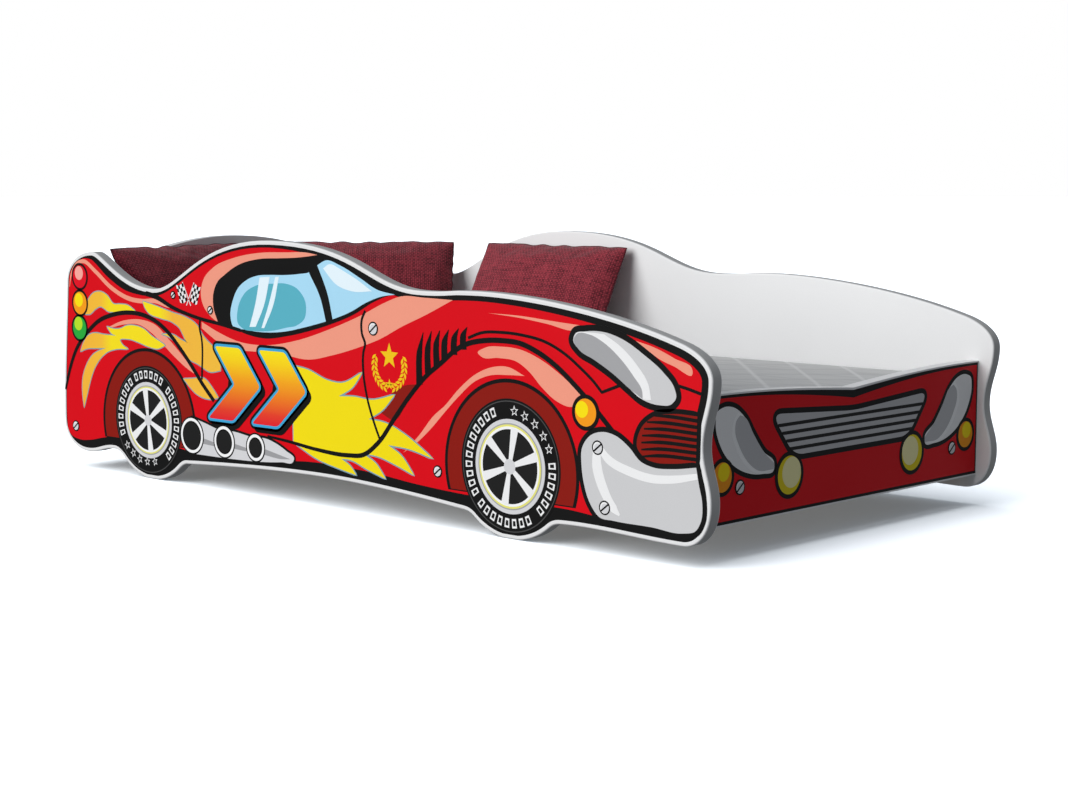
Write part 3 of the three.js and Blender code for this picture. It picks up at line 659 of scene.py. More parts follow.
for tip_x, tip_z, foot_x, foot_z in ((698, 296, 689, 216), (716, 299, 708, 234), (734, 301, 727, 247),
                                     (753, 303, 744, 257), (774, 306, 764, 266), (792, 309, 784, 275)):
    slash = [(tip_x, tip_z), ((tip_x + foot_x) / 2 - 4, tip_z * 0.6 + foot_z * 0.4), (foot_x, foot_z)]
    printed(side_print, "black", 7, stroke(slash, [1, 12, 13.5]))
GLINTS = (
    ([(652, 107), (686, 136), (722, 172), (742, 186), (774, 215), (810, 240), (846, 253), (875, 255),
      (909, 244), (875, 243), (839, 240), (810, 230), (774, 204), (742, 176), (716, 152),
      (686, 128)], (0, 8)),
    ([(814, 272), (828, 280), (864, 284), (900, 282), (943, 269), (979, 251), (1008, 233), (1026, 221),
      (1001, 206), (972, 212), (943, 230), (918, 251), (893, 264), (857, 267), (821, 267)], (7,)),
    ([(837, 332), (900, 331), (972, 326), (1037, 322), (1008, 315), (954, 322), (900, 328)], (0, 3)),
    ([(1120, 307), (1152, 300), (1188, 287), (1220, 272), (1220, 268), (1188, 276), (1163, 284), (1138, 297)],
     (0,)),
)
for points, corners in GLINTS:
    printed(side_print, "salmon", 3, through(points, corners))


def star(x, z, radius, turn=0.0):
    """A five-pointed star: ten corners, every second one at 0.42 of the radius."""
    angle = np.radians(90 + turn) + np.arange(10) * np.pi / 5
    reach = radius * np.where(np.arange(10) % 2 == 0, 1, 0.42)
    return np.stack([x + reach * np.cos(angle), z + reach * np.sin(angle)], 1)


WREATH_X, WREATH_Z = 622, 239
for side in (-1, 1):
    stem = np.radians(np.linspace(-78, 32, 9))
    for row, lean in ((-3.6, 38), (3.6, -30)):
        for k in range(8):
            at = stem[k] + 0.05 * (row > 0)
            radius = 34 + row
            middle = np.array((math.cos(at) * radius, math.sin(at) * radius))
            axis = at + math.pi / 2 - math.radians(lean)
            leaf = through([(-6, 0), (0, 2.4), (6.5, 0), (0, -2.4)], (0, 2), 3)
            turn = np.array([[math.cos(axis), math.sin(axis)], [-math.sin(axis), math.cos(axis)]])
            whole = (leaf @ turn + middle) * (side, 1) + (WREATH_X, WREATH_Z)
            printed(side_print, "gold", 4, whole)
printed(side_print, "gold", 4, star(WREATH_X, 255, 21), star(WREATH_X, 211, 9))

# ---------------------------------------------------------------- printed sides: nose
# Headlamp, amber side lamp, slatted grille and a pale bumper, each inside its own heavy black line.
headlamp = through([
    (1004, 302), (1008, 311), (1026, 315), (1062, 316), (1098, 307), (1134, 289), (1170, 266), (1188, 248),
    (1192, 233), (1184, 224), (1163, 221), (1134, 226), (1109, 240), (1080, 258), (1044, 276), (1015, 289),
])
printed(side_print, "black", 4, widened(headlamp, 9))
printed(side_print, "pale_grey", 5, headlamp)
printed(side_print, "near_white", 6, through([
    (1005, 302), (1010, 311), (1034, 314), (1062, 313), (1092, 298), (1122, 274), (1143, 248), (1148, 227),
    (1133, 227), (1109, 240), (1080, 258), (1044, 276), (1015, 289)], (3, 7)))
printed(side_print, "mid_grey", 7, through([
    (1005, 302), (1010, 310), (1036, 311), (1058, 303), (1088, 284), (1116, 258), (1132, 238), (1133, 227),
    (1109, 240), (1080, 258), (1044, 276), (1015, 289)], (7,)))
printed(side_print, "black", 7, disc(1028, 200, 26))
printed(side_print, "amber", 8, disc(1028, 200, 20))
printed(side_print, "yellow", 9, disc(1021, 204, 12))
printed(side_print, "black", 6, stroke([(1190, 251), (1212, 247), (1238, 241)], 4.5))
grille = through([(1123, 160), (1130, 186), (1152, 204), (1188, 211), (1229, 211), (1227, 144), (1188, 141),
                  (1145, 142)], (4, 5))
printed(side_print, "black", 4, widened(grille, 7))
printed(side_print, "dark_red", 5, grille)
for k in range(7):
    z = 152 + 8.8 * k
    left = 1131 + 1.1 * max(0, k - 2) ** 2
    printed(side_print, "black", 6, stroke(
        [(left, z - 5 + k), (left + 30, z - 1 + 0.5 * k), (1229, z)], [2.5, 5.2, 5.2]))
bumper = through([
    (1021, 122), (1022, 150), (1037, 168), (1058, 175), (1084, 172), (1109, 158), (1130, 140), (1152, 134),
    (1188, 135), (1228, 141), (1233, 118), (1239, 93), (1237, 68), (1228, 54), (1206, 48), (1152, 50),
    (1080, 51), (1055, 53), (1037, 71), (1026, 96)], (9,))
printed(side_print, "black", 7, widened(bumper, 7.5))
printed(side_print, "pale_grey", 8, bumper)
printed(side_print, "near_white", 9,
        stroke([(1050, 158), (1070, 138), (1110, 124), (1150, 118), (1190, 121), (1230, 129)],
               [8, 13, 13, 12, 11, 8]),
        stroke([(1050, 158), (1050, 125), (1060, 98), (1082, 68), (1092, 60)], [12, 18, 17, 13, 3]))

# ---------------------------------------------------------------- printed sides: wheels
# Dark red wheel arches and black tyres with a row of stars and plain pale blocks on the sidewall. Each silver
# rim has a thin yellow ring and six tapering spokes.
ARCH_WIDER, ARCH_FOOT = 1.01, 57
for x, z, arch, arch_z, tyre, rims, spokes, hub in (
    (0, 103.5, 134, 97, 96.2, (67.5, 61.5, 59.5, 57, 53.5), 97, 10),
    (880, 108, 135, 103, 100.7, (70.6, 64.5, 62.5, 59.5, 55.5), 80, 11.5),
):
    for ink, layer, radius in (("black", 3, arch), ("dark_red", 4, arch - 6)):
        sweep = np.linspace(-0.32, math.pi + 0.32, 61)
        edge = np.stack([x + radius * np.cos(sweep) * ARCH_WIDER, arch_z + radius * np.sin(sweep)], 1)
        printed(side_print, ink, layer, edge[edge[:, 1] > ARCH_FOOT])
    printed(side_print, "black", 5, disc(x, z, tyre, count=72))
    printed(side_print, "soot_ring", 6, disc(x, z, tyre - 3, count=72))
    printed(side_print, "black", 7, disc(x, z, tyre - 4.6, count=72))
    for ink, layer, radius in zip(("silver", "mid_grey", "straw", "paper", "soot"), (8, 9, 10, 11, 12), rims):
        printed(side_print, ink, layer, disc(x, z, radius, count=64))
    for k in range(6):
        at = math.radians(spokes + 60 * k)
        tip = rims[4] + 1.2
        along, across = np.array((math.cos(at), math.sin(at))), np.array((-math.sin(at), math.cos(at)))
        printed(side_print, "near_white", 13, np.array([
            5 * along - 3.3 * across, tip * along - 7.4 * across, (tip + 1.3) * along,
            tip * along + 7.4 * across, 5 * along + 3.3 * across]) + (x, z))
    printed(side_print, "silver", 14, disc(x, z, hub, count=24))

REAR_STARS = ((-63, 54), (-46, 41), (-27, 32), (-5, 29.5), (17, 31.6))
FRONT_STARS = ((889, 191), (910, 185), (930, 175), (947, 159), (958, 141))
for x, z in REAR_STARS + FRONT_STARS:
    printed(side_print, "near_white", 8, star(x, z, 8.5, (x * 7) % 20))
    printed(side_print, "black", 9, star(x, z, 5.2, (x * 7) % 20))


def sidewall_block(x, z, radius, angle):
    """A block that follows the sidewall: 6 degrees wide and 14 mm high, drawn as two short arcs."""
    sweep = np.radians(angle + np.linspace(-3.1, 3.1, 4))
    ring = np.stack([np.cos(sweep), np.sin(sweep)], 1)
    return np.vstack([(radius - 7) * ring, (radius + 7) * ring[::-1]]) + (x, z)


for x, z, radius, groups in (
    (0, 103.5, 81, ((200, 128, 8), (114, 62, 6), (44, -46, 10))),
    (880, 108, 84.5, ((212, 114, 11), (6, -44, 6), (-64, -134, 8))),
):
    for begin, end, count in groups:
        for angle in np.linspace(begin, end, count):
            block = sidewall_block(x, z, radius, angle)
            printed(side_print, "near_white", 8, block)
            printed(side_print, "black", 9, block * 0.56 + 0.44 * np.mean(block, 0))

# ---------------------------------------------------------------- printed sides: screws and flags
# Seven slotted screws and a pair of crossed chequered flags are part of the picture.
def printed_screw(shapes, x, z, radius, slant=38):
    """A slotted screw head: a black rim, two pale discs and a slanting black slot."""
    across = np.array((math.cos(math.radians(slant)), math.sin(math.radians(slant)))) * (radius - 1)
    printed(shapes, "black", 10, disc(x, z, radius, count=24))
    printed(shapes, "near_white", 11, disc(x, z, radius - 2.2, count=24))
    printed(shapes, "silver", 12, disc(x + 0.9, z - 0.9, radius - 3.4, count=24))
    printed(shapes, "black", 13, stroke([(x, z) - across, (x, z) + across], 2.6, steps=2))


for x, z, radius in ((-221, 75, 10), (78, 327.5, 7), (180, 306, 7.5), (586, 296, 11), (728, 85.6, 9.5),
                     (1051, 152, 10.5), (1064.5, 67.6, 10.5)):
    printed_screw(side_print, x, z, radius)

for lean in (-1, 1):
    pole = [(121 - lean * 6, 311), (121 + lean * 16, 351)]
    printed(side_print, "near_white", 5, stroke(pole, 1.8, steps=2))
    for row in range(5):
        for column in range(4):
            cell = np.array([(0, 0), (1, 0), (1, 1), (0, 1)], float) + (column, row)
            x = 124 + lean * (cell[:, 0] * 5 + cell[:, 1] * 2.2 + 3) - 3
            z = 318 + cell[:, 1] * 6 + 1.5 * np.sin(cell[:, 0] * 1.6 + (lean < 0)) - cell[:, 0]
            ink = "near_white" if (row + column) % 2 else "black"
            printed(side_print, ink, 6, np.stack([x, z], 1))

# ---------------------------------------------------------------- inks
# Flat printing inks under a clear matt film.
INKS = {
    "black": "121212", "red": "D80516", "salmon": "F09A82", "dark_red": "8A180E", "pink": "F7A89C",
    "lamp_red": "DE1024", "amber": "F39A1A", "yellow": "F7DE10", "green": "2AA83C", "lime": "B4E02A",
    "flame_edge": "7FA0AE", "swoosh": "F2DC12", "glass": "A9DAF2", "teal": "5AB0C2", "glass_glint": "E4F3FA",
    "sky_edge": "3FA4D4", "silver": "D4D4D6", "grey": "9C9C9E", "paper": "F4F4F4", "soot": "1E1E1E",
    "gold": "EFC31A", "pale_grey": "CBCBCC", "near_white": "ECECEC", "mid_grey": "A3A3A5",
    "soot_ring": "4A4A4A", "straw": "E6E27A", "cool_grey": "BEBEC0",
    "fog_glass": "F0EAB0", "fog_shade": "E2CE1E",
}


def shaded(axis, stops):
    """The colour of an ink that changes along one direction, from (place in metres, colour) pairs."""
    def colour(tree):
        """The output that gives the colour at each place."""
        parts = node(tree, "ShaderNodeSeparateXYZ")
        tree.links.new(node(tree, "ShaderNodeTexCoord").outputs["Object"], parts.inputs[0])
        first, last = stops[0][0], stops[-1][0]
        ramp = node(tree, "ShaderNodeValToRGB")
        tree.links.new(ramped(tree, parts.outputs[axis], first, last, 0.0, 1.0), ramp.inputs[0])
        points = ramp.color_ramp.elements
        for place, code in stops[1:-1]:
            points.new((place - first) / (last - first)).color = srgb(code)
        points[0].color = srgb(stops[0][1])
        points[len(points) - 1].color = srgb(stops[-1][1])
        return ramp.outputs[0]
    return colour


def from_wheel(x):
    """The place along the bed, in metres, of a length in millimetres from the rear wheel's centre."""
    return REAR_WHEEL_X + x * MM


INKS["flame"] = shaded("X", [
    (from_wheel(-205), "F2B23C"), (from_wheel(-135), "F3BC38"), (from_wheel(-105), "F5DE1E"),
    (from_wheel(40), "F5DE1E"), (from_wheel(75), "F2B640"), (from_wheel(205), "F2BC3E")])
INKS["sunset"] = shaded("Z", [
    (0.122, "E0202E"), (0.140, "E3402A"), (0.168, "EC7A22"), (0.196, "F2A41E"), (0.225, "F6D01A"),
    (0.246, "F8E21A")])
inks = {name: painted(f"ink_{name}", colour, 0.05, 0.42) for name, colour in INKS.items()}


def print_piece(name, shapes, start, across, outward):
    """Printed shapes as closed films on a face: each outline, at its foot inside the board and at its layer's
    height outside it, with a wall between them and a cap on each. Every film has its ink's material."""
    start, across, outward = (np.array(v, float) for v in (start, across, outward))
    up = np.array((0, 0, 1.0))
    outside = np.dot(np.cross(across, up), outward) > 0
    points, faces, materials, base = [], [], [], 0
    used = sorted({ink for ink, _, _ in shapes})
    for ink, layer, loop in shapes:
        flat = start + loop[:, :1] * MM * across + loop[:, 1:] * MM * up
        points += [flat - 0.3 * MM * outward, flat + layer * FILM * MM * outward]
        count = len(loop)
        ring = np.arange(count) + base
        ahead = np.roll(ring, -1)
        walls = np.stack([ring, ahead, ahead + count, ring + count], 1)
        whole = [ring[::-1].tolist(), (ring + count).tolist()] + walls.tolist()
        faces += whole if outside else [face[::-1] for face in whole]
        materials += [used.index(ink)] * len(whole)
        base += 2 * count
    made = piece(name, np.vstack(points), faces)
    for ink in used:
        made.data.materials.append(inks[ink])
    made.data.polygons.foreach_set("material_index", materials)
    return made


for side, outward in (("right", -1), ("left", 1)):
    low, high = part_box(f"side_panel_{side}")
    face_y = low.y if outward < 0 else high.y
    side_picture = print_piece(
        f"printed_side_{side}", side_print, (REAR_WHEEL_X, face_y, 0), (1, 0, 0), (0, outward, 0))
    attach(side_picture, "bed_frame")

# ---------------------------------------------------------------- printed front board
# The front board's outer face is the car's nose seen head on: two slanting lamps, a slatted air intake, fog
# lamps and small amber lamps on red. Widths are counted from the bed's middle.
front_print = []
low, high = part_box("front_board")
HALF = (high.y - low.y) / 2 / MM
FOOT, NOTCH = low.z / MM, 221.0
SHOULDER = high.z / MM
arch_right = pen_path([(HALF, SHOULDER, 180, 0, 0.36), (0, NOTCH, 184.5, 0.4, 0)])
arch_left = pen_path([(0, NOTCH, 175.5, 0, 0.4), (-HALF, SHOULDER, 180, 0.36, 0)])


def front_ground(side, foot, top, notch):
    """The front board's outline, drawn in by its own amount at the sides, the foot, the top and the notch."""
    crest = np.vstack([arch_right, arch_left, [(-HALF, SHOULDER)]])
    share = 1 - np.abs(crest[:, 0]) / HALF
    lowered = crest - np.stack([0 * share, top + (notch - top) * share ** 2], 1)
    lowered[:, 0] *= (HALF - side) / HALF
    return np.vstack([[(-HALF + side, FOOT + foot), (HALF - side, FOOT + foot)], lowered])


printed(front_print, "black", 1, front_ground(1.5, 2.5, 2.5, 3.5))
printed(front_print, "red", 2, front_ground(5.0, 7.0, 6.5, 15.0))
lamp_outline = np.array([
    (42, 197), (45, 212), (60, 218), (85, 215), (108, 200), (128, 175), (153, 147), (178, 128), (177, 119),
    (150, 116), (115, 121), (80, 137), (55, 162)], float) - (375, 0)
lamp_shade = np.array([
    (97, 204), (88, 196), (86, 182), (96, 160), (114, 138), (140, 122), (176, 120), (178, 128), (153, 147),
    (128, 175), (108, 200)], float) - (375, 0)
lamp_crescent = np.array([
    (92, 208), (82, 196), (79, 180), (88, 158), (106, 136), (134, 119), (150, 116), (176, 120), (178, 128),
    (153, 147), (128, 175), (108, 200)], float) - (375, 0)
for side in (1, -1):
    mirror = (side, 1)
    lens = through(lamp_outline) * mirror
    printed(front_print, "black", 3, widened(lens, 7))
    printed(front_print, "near_white", 4, lens)
    printed(front_print, "paper", 5, through(lamp_crescent, (0, 7, 8)) * mirror)
    printed(front_print, "cool_grey", 6, through(lamp_shade, (0, 6, 7)) * mirror)
    fog = side * -160.5
    printed(front_print, "black", 7, disc(fog, 107.5, 34.5))
    printed(front_print, "fog_shade", 8, disc(fog, 107.5, 28))
    printed(front_print, "fog_glass", 9, disc(fog + 5 * side, 111, 22.5))
    printed(front_print, "black", 5, disc(side * -317, 121, 27))
    printed(front_print, "amber", 6, disc(side * -317, 121, 21))
    printed(front_print, "yellow", 7, disc(side * -317 + 3, 128, 13))
    printed_screw(front_print, side * -277, 103, 11)
intake = rounded(np.array([(-150, 135), (150, 135), (203, 199), (0, 187), (-203, 199)], float), 24, 9)
printed(front_print, "black", 3, widened(intake, 8))
printed(front_print, "cool_grey", 4, intake)
for k in range(4):
    z = 145 + 12 * k
    half = 148 + 0.83 * (z - 135)
    bar = np.array([(-half, z - 2.5), (half, z - 2.5), (half + 4, z + 2.5), (-half - 4, z + 2.5)], float)
    printed(front_print, "soot", 5, rounded(bar, 2, 4))
front_picture = print_piece("printed_front", front_print, (high.x, 0, 0), (0, 1, 0), (1, 0, 0))
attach(front_picture, "bed_frame")

# ---------------------------------------------------------------- slatted base
# Twelve planed pine slats lie on two pine rails, held at an even distance by two woven tapes. The grain runs
# along each piece, in broad pale and narrow dark bands.
wood_group, given, put = surface_group(
    "pine_grain",
    [("Place", "NodeSocketVector", (0, 0, 0)), ("Pale", "NodeSocketColor", srgb("E9CB9C")),
     ("Dark", "NodeSocketColor", srgb("C99C62"))],
    [("Colour", "NodeSocketColor"), ("Roughness", "NodeSocketFloat"), ("Normal", "NodeSocketVector")],
)
bands = noise(wood_group, given.outputs["Place"], 34.0, 3.0, 0.55)
fibre = noise(wood_group, given.outputs["Place"], 420.0, 2.0)
growth = math_node(wood_group, "SINE", math_node(wood_group, "MULTIPLY", bands, 42.0))
grain_share = ramped(wood_group, growth, -1.0, 1.0, 0.0, 0.75)
toned = mixed(wood_group, grain_share, given.outputs["Pale"], given.outputs["Dark"])
wood_group.links.new(mixed(wood_group, ramped(wood_group, fibre, 0.3, 0.7, 0.0, 0.35), toned,
                           given.outputs["Dark"]), put.inputs["Colour"])
wood_group.links.new(ramped(wood_group, bands, 0.3, 0.7, 0.55, 0.75), put.inputs["Roughness"])
wood_group.links.new(bump(wood_group, fibre, 0.25, 0.0004), put.inputs["Normal"])


def pine(name, along):
    """Planed pine whose grain runs along X (0) or Y (1): the pattern is stretched in that direction."""
    made, tree, shader = new_material(name)
    stretch = [1.0, 1.0, 1.0]
    stretch[along] = 0.05
    turn = node(tree, "ShaderNodeMapping")
    turn.inputs["Scale"].default_value = stretch
    tree.links.new(node(tree, "ShaderNodeTexCoord").outputs["Object"], turn.inputs[0])
    wood = node(tree, "ShaderNodeGroup", node_tree=wood_group)
    tree.links.new(turn.outputs[0], wood.inputs["Place"])
    surfaced(tree, wood, shader)
    return made


pine_across, pine_lengthwise = pine("pine_across", 1), pine("pine_lengthwise", 0)
for name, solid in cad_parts.items():
    if name.startswith(("slat_0", "slat_1")):
        finished(solid, pine_across)
    if name.startswith("slat_rail"):
        finished(solid, pine_lengthwise)

# The tapes are plain-woven off-white webbing, stapled under the slats.
weave_group, given, put = surface_group(
    "plain_weave",
    [("Place", "NodeSocketVector", (0, 0, 0)), ("Threads", "NodeSocketFloat", 900.0),
     ("Slubs", "NodeSocketFloat", 0.3), ("Pale", "NodeSocketColor", srgb("E4E1D8")),
     ("Dark", "NodeSocketColor", srgb("B9B5A8"))],
    [("Colour", "NodeSocketColor"), ("Height", "NodeSocketFloat")],
)
parts = node(weave_group, "ShaderNodeSeparateXYZ")
wander = node(weave_group, "ShaderNodeTexNoise", Scale=38.0, Detail=3.0)
weave_group.links.new(given.outputs["Place"], wander.inputs["Vector"])
bent = node(weave_group, "ShaderNodeVectorMath", operation="MULTIPLY_ADD")
bent.inputs[1].default_value = (0.0016, 0.0016, 0.0016)
weave_group.links.new(wander.outputs["Color"], bent.inputs[0])
weave_group.links.new(given.outputs["Place"], bent.inputs[2])
weave_group.links.new(bent.outputs[0], parts.inputs[0])
turns = [math_node(weave_group, "MULTIPLY", parts.outputs[axis], math_node(
    weave_group, "MULTIPLY", given.outputs["Threads"], math.pi)) for axis in ("X", "Y")]
warp, weft = (math_node(weave_group, "SINE", turn) for turn in turns)
over = math_node(weave_group, "MULTIPLY", warp, weft)
rounds = math_node(weave_group, "MULTIPLY", math_node(weave_group, "ABSOLUTE", warp),
                   math_node(weave_group, "ABSOLUTE", weft))
height = math_node(weave_group, "ADD", math_node(weave_group, "MULTIPLY", over, 0.5), rounds)
streaks = []
for stretch in ((34, 420, 60), (420, 34, 60)):
    drawn = node(weave_group, "ShaderNodeMapping")
    drawn.inputs["Scale"].default_value = stretch
    weave_group.links.new(given.outputs["Place"], drawn.inputs[0])
    streaks.append(ramped(weave_group, noise(weave_group, drawn.outputs[0], 1.0, 2.0), 0.3, 0.7, -1.0, 1.0))
slub = math_node(weave_group, "MULTIPLY", math_node(weave_group, "ADD", *streaks), given.outputs["Slubs"])
height = math_node(weave_group, "ADD", height, slub)
weave_group.links.new(height, put.inputs["Height"])
# Painted shade: the cloth is pale where its threads and slubs stand high and dark in the hollows between
# them.
lit = ramped(weave_group, height, -0.4, 1.1, 1.0, 0.0)
toned = mixed(weave_group, lit, given.outputs["Pale"], given.outputs["Dark"])
weave_group.links.new(toned, put.inputs["Colour"])


def woven(name, pale, dark, threads, slubs, place, depth, sheen=0.2):
    """A plain-woven cloth. place makes the output that the threads follow, in metres."""
    made, tree, shader = new_material(name)
    cloth = node(tree, "ShaderNodeGroup", node_tree=weave_group, Threads=threads, Slubs=slubs,
                 Pale=srgb(pale), Dark=srgb(dark))
    tree.links.new(place(tree), cloth.inputs["Place"])
    tree.links.new(cloth.outputs["Colour"], shader.inputs["Base Color"])
    tree.links.new(bump(tree, cloth.outputs["Height"], 0.5, depth), shader.inputs["Normal"])
    shader.inputs["Roughness"].default_value = 0.95
    shader.inputs["Sheen Weight"].default_value = sheen
    shader.inputs["Specular IOR Level"].default_value = 0.2
    return made


def object_place(tree):
    """The place in the object's own metres."""
    return node(tree, "ShaderNodeTexCoord").outputs["Object"]


webbing = woven("webbing", "E4E1D8", "B4AF9F", 420, 0.1, object_place, 0.0004)
for side in ("right", "left"):
    finished(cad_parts[f"slat_tape_{side}"], webbing)

# ---------------------------------------------------------------- fixings
# Cast zinc cams grip turned steel bolts at each corner, with a beech dowel between them. Zinc-plated screws
# hold the rails.
def plated(name, colour, roughness):
    """Zinc plating: a bright grey metal, clouded and finely scratched."""
    made, tree, shader = new_material(name)
    cloud = noise(tree, object_place(tree), 180.0, 3.0)
    tree.links.new(mixed(tree, cloud, srgb(colour), srgb("8E9296")), shader.inputs["Base Color"])
    dulled = ramped(tree, cloud, 0.3, 0.7, roughness - 0.08, roughness + 0.1)
    tree.links.new(dulled, shader.inputs["Roughness"])
    tree.links.new(bump(tree, noise(tree, object_place(tree), 900.0), 0.15, 0.0002), shader.inputs["Normal"])
    shader.inputs["Metallic"].default_value = 1.0
    return made


zinc = plated("zinc", "C9CCD0", 0.38)
for name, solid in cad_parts.items():
    if name.startswith(("cam_", "rail_screw")):
        finished(solid, zinc)
    if name.startswith("dowel"):
        finished(solid, pine_across)

# ---------------------------------------------------------------- mattress
# A foam mattress in a light grey ribbed knit, stitched in wide slanting bands, with a white cord piped round
# its upper and lower edges. The foam's top is slightly crowned and sinks along the piping.
low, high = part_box("mattress")
middle = np.array((low + high) / 2)
half_length, half_width, half_height = np.array((high - low) / 2)
CORNER, CROWN, EDGE = 0.038, 0.0035, 0.009
ROUND = 420


def plan_ring(drawn_in, z):
    """The mattress outline seen from above, drawn in and at a height: four straights joined by quarter
    circles, as evenly spaced points."""
    radius = max(CORNER - drawn_in, 0.004)
    turn = np.linspace(0, np.pi / 2, 12)[None] + np.arange(4)[:, None] * np.pi / 2
    toward = np.array([(1, 1), (-1, 1), (-1, -1), (1, -1)])[:, None]
    size = np.array([half_length, half_width]) - drawn_in - radius
    loop = (toward * size + radius * np.stack([np.cos(turn), np.sin(turn)], 2)).reshape(-1, 2)
    closed = np.vstack([loop, loop[:1]])
    run = np.concatenate([[0], np.cumsum(np.linalg.norm(np.diff(closed, axis=0), axis=1))])
    even = np.linspace(0, run[-1], ROUND, endpoint=False)
    return np.stack([np.interp(even, run, closed[:, 0]), np.interp(even, run, closed[:, 1]), 0 * even + z], 1)


def skin(name, rings):
    """A closed form through rings of equal numbers of points, the lowest first, capped at both ends."""
    count = len(rings[0])
    ring = np.arange(count)
    ahead = np.roll(ring, -1)
    start = np.arange(len(rings) - 1)[:, None] * count
    walls = np.stack([start + ring, start + ahead, start + count + ahead, start + count + ring], 2)
    walls = walls.reshape(-1, 4)
    caps = [ring[::-1].tolist(), ((len(rings) - 1) * count + ring).tolist()]
    return piece(name, np.vstack(rings), walls.tolist() + caps, [True] * (len(walls) + 2))


quarter = np.radians(np.linspace(0, 90, 7))
rise = EDGE * (1 - np.cos(quarter))
inset = EDGE * (1 - np.sin(quarter))
steps_in = np.array([0.012, 0.017, 0.025, 0.04, 0.06, 0.08, 0.1])
swell = CROWN * np.sin(steps_in / steps_in[-1] * np.pi / 2) - CROWN
rings = [plan_ring(d, -half_height + z) for d, z in zip(inset, rise)]
rings += [plan_ring(-0.001 * math.sin(t), -half_height + EDGE + (2 * half_height - 2 * EDGE) * t / np.pi)
          for t in np.linspace(0, np.pi, 9)[1:-1]]
rings += [plan_ring(d, half_height - CROWN - z) for d, z in zip(inset[::-1], rise[::-1])]
rings += [plan_ring(d, half_height + z) for d, z in zip(steps_in, swell)]
mattress = skin("mattress_foam", [ring + middle for ring in rings])


def tube(name, path, radius, sides=8):
    """A closed round cord along a closed path, its circle set square to the path."""
    along = np.roll(path, -1, 0) - np.roll(path, 1, 0)
    along /= np.linalg.norm(along, axis=1, keepdims=True)
    upright = np.array((0.02, 0.03, 1.0))
    across = np.cross(along, upright)
    across /= np.linalg.norm(across, axis=1, keepdims=True)
    upright = np.cross(across, along)
    turn = np.linspace(0, 2 * np.pi, sides, endpoint=False)
    circle = across[:, None] * np.cos(turn)[None, :, None] + upright[:, None] * np.sin(turn)[None, :, None]
    points = (path[:, None] + radius * circle).reshape(-1, 3)
    station = np.arange(len(path))[:, None] * sides
    following = np.roll(station, -1, 0)
    side = np.arange(sides)[None]
    after = np.roll(side, -1, 1)
    faces = np.stack([station + side, following + side, following + after, station + after], 2).reshape(-1, 4)
    return piece(name, points, faces[:, ::-1].tolist(), [True] * len(faces))


cover, tree, shader = new_material("mattress_cover")
parts = node(tree, "ShaderNodeSeparateXYZ")
tree.links.new(object_place(tree), parts.inputs[0])
STITCH_PITCH, RIB_PITCH = 0.082, 0.0042


def slanted(share_x, share_y):
    """The distance along a slanting direction of the mattress."""
    return math_node(tree, "ADD", math_node(tree, "MULTIPLY", parts.outputs["X"], share_x),
                     math_node(tree, "MULTIPLY", parts.outputs["Y"], share_y))


def stitched(distance, width):
    """One in the stitched lines that cross a direction every 82 mm, and nothing between them."""
    wave = math_node(tree, "SINE", math_node(tree, "MULTIPLY", distance, math.pi / STITCH_PITCH))
    return ramped(tree, math_node(tree, "ABSOLUTE", wave), width * 0.3, width, 1.0, 0.0)


forwards, sideways = slanted(0.73, 0.68), slanted(-0.68, 0.73)
pale_lines, deep_lines = stitched(forwards, 0.2), stitched(sideways, 0.5)
ribs = math_node(tree, "SINE", math_node(tree, "MULTIPLY", sideways, 2 * math.pi / RIB_PITCH))
fuzz = ramped(tree, noise(tree, object_place(tree), 700.0, 2.0), 0.3, 0.7, -0.1, 0.1)
streak = node(tree, "ShaderNodeMapping")
streak.inputs["Rotation"].default_value = (0, 0, -math.radians(43))
streak.inputs["Scale"].default_value = (5, 60, 60)
tree.links.new(object_place(tree), streak.inputs[0])
uneven = ramped(tree, noise(tree, streak.outputs[0], 1.0, 3.0), 0.3, 0.7, 0.1, 0.75)
# Painted shade: the ribs are lighter on their crests, and the deep stitched lines are darker where they sink.
tone = math_node(tree, "ADD", math_node(tree, "ADD", uneven, fuzz), ramped(tree, ribs, -1, 1, -0.1, 0.1))
tone = math_node(tree, "SUBTRACT", tone, math_node(tree, "MULTIPLY", deep_lines, 0.45))
knit = mixed(tree, tone, srgb("AFB0B0"), srgb("C6C6C5"))
tree.links.new(mixed(tree, math_node(tree, "MULTIPLY", pale_lines, 0.6), knit, srgb("D6D6D6")),
               shader.inputs["Base Color"])
puffed = math_node(tree, "ADD", math_node(tree, "MULTIPLY", pale_lines, -0.8),
                   math_node(tree, "MULTIPLY", deep_lines, -0.6))
relief = math_node(tree, "ADD", puffed, math_node(tree, "MULTIPLY", math_node(tree, "ADD", ribs, fuzz), 0.08))
tree.links.new(bump(tree, relief, 0.5, 0.0015), shader.inputs["Normal"])
shader.inputs["Roughness"].default_value = 0.95
shader.inputs["Sheen Weight"].default_value = 0.2
shader.inputs["Specular IOR Level"].default_value = 0.15
piping_cloth = woven("piping_cloth", "F2F2F2", "D2D2D2", 500, 0.05, object_place, 0.0003)

mattress.data.materials.append(cover)
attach(mattress, "mattress")
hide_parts("mattress")
PIPING = 0.0024
for name, drawn_in, z in (
    ("upper", 0.0026, half_height - CROWN - 0.0018),
    ("lower", 0.0016, -half_height + 0.004),
):
    cord = tube(f"mattress_piping_{name}", plan_ring(drawn_in, z) + middle, PIPING)
    cord.data.materials.append(piping_cloth)
    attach(cord, "mattress")

# ---------------------------------------------------------------- cushions
# Three stuffed cushions in a coarse burgundy linen, two rectangles sewn together all round and turned. The
# stuffing swells them, so that the seams draw in and pucker between pointed corners.
CUSHION_WIDTH, CUSHION_TALL, CUSHION_THICK = 0.342, 0.202, 0.088
ACROSS, DOWN = 67, 41
SEAM_RIPPLE, MOST_BLOWN, START_SHARE = 0.0007, 0.022, 0.62


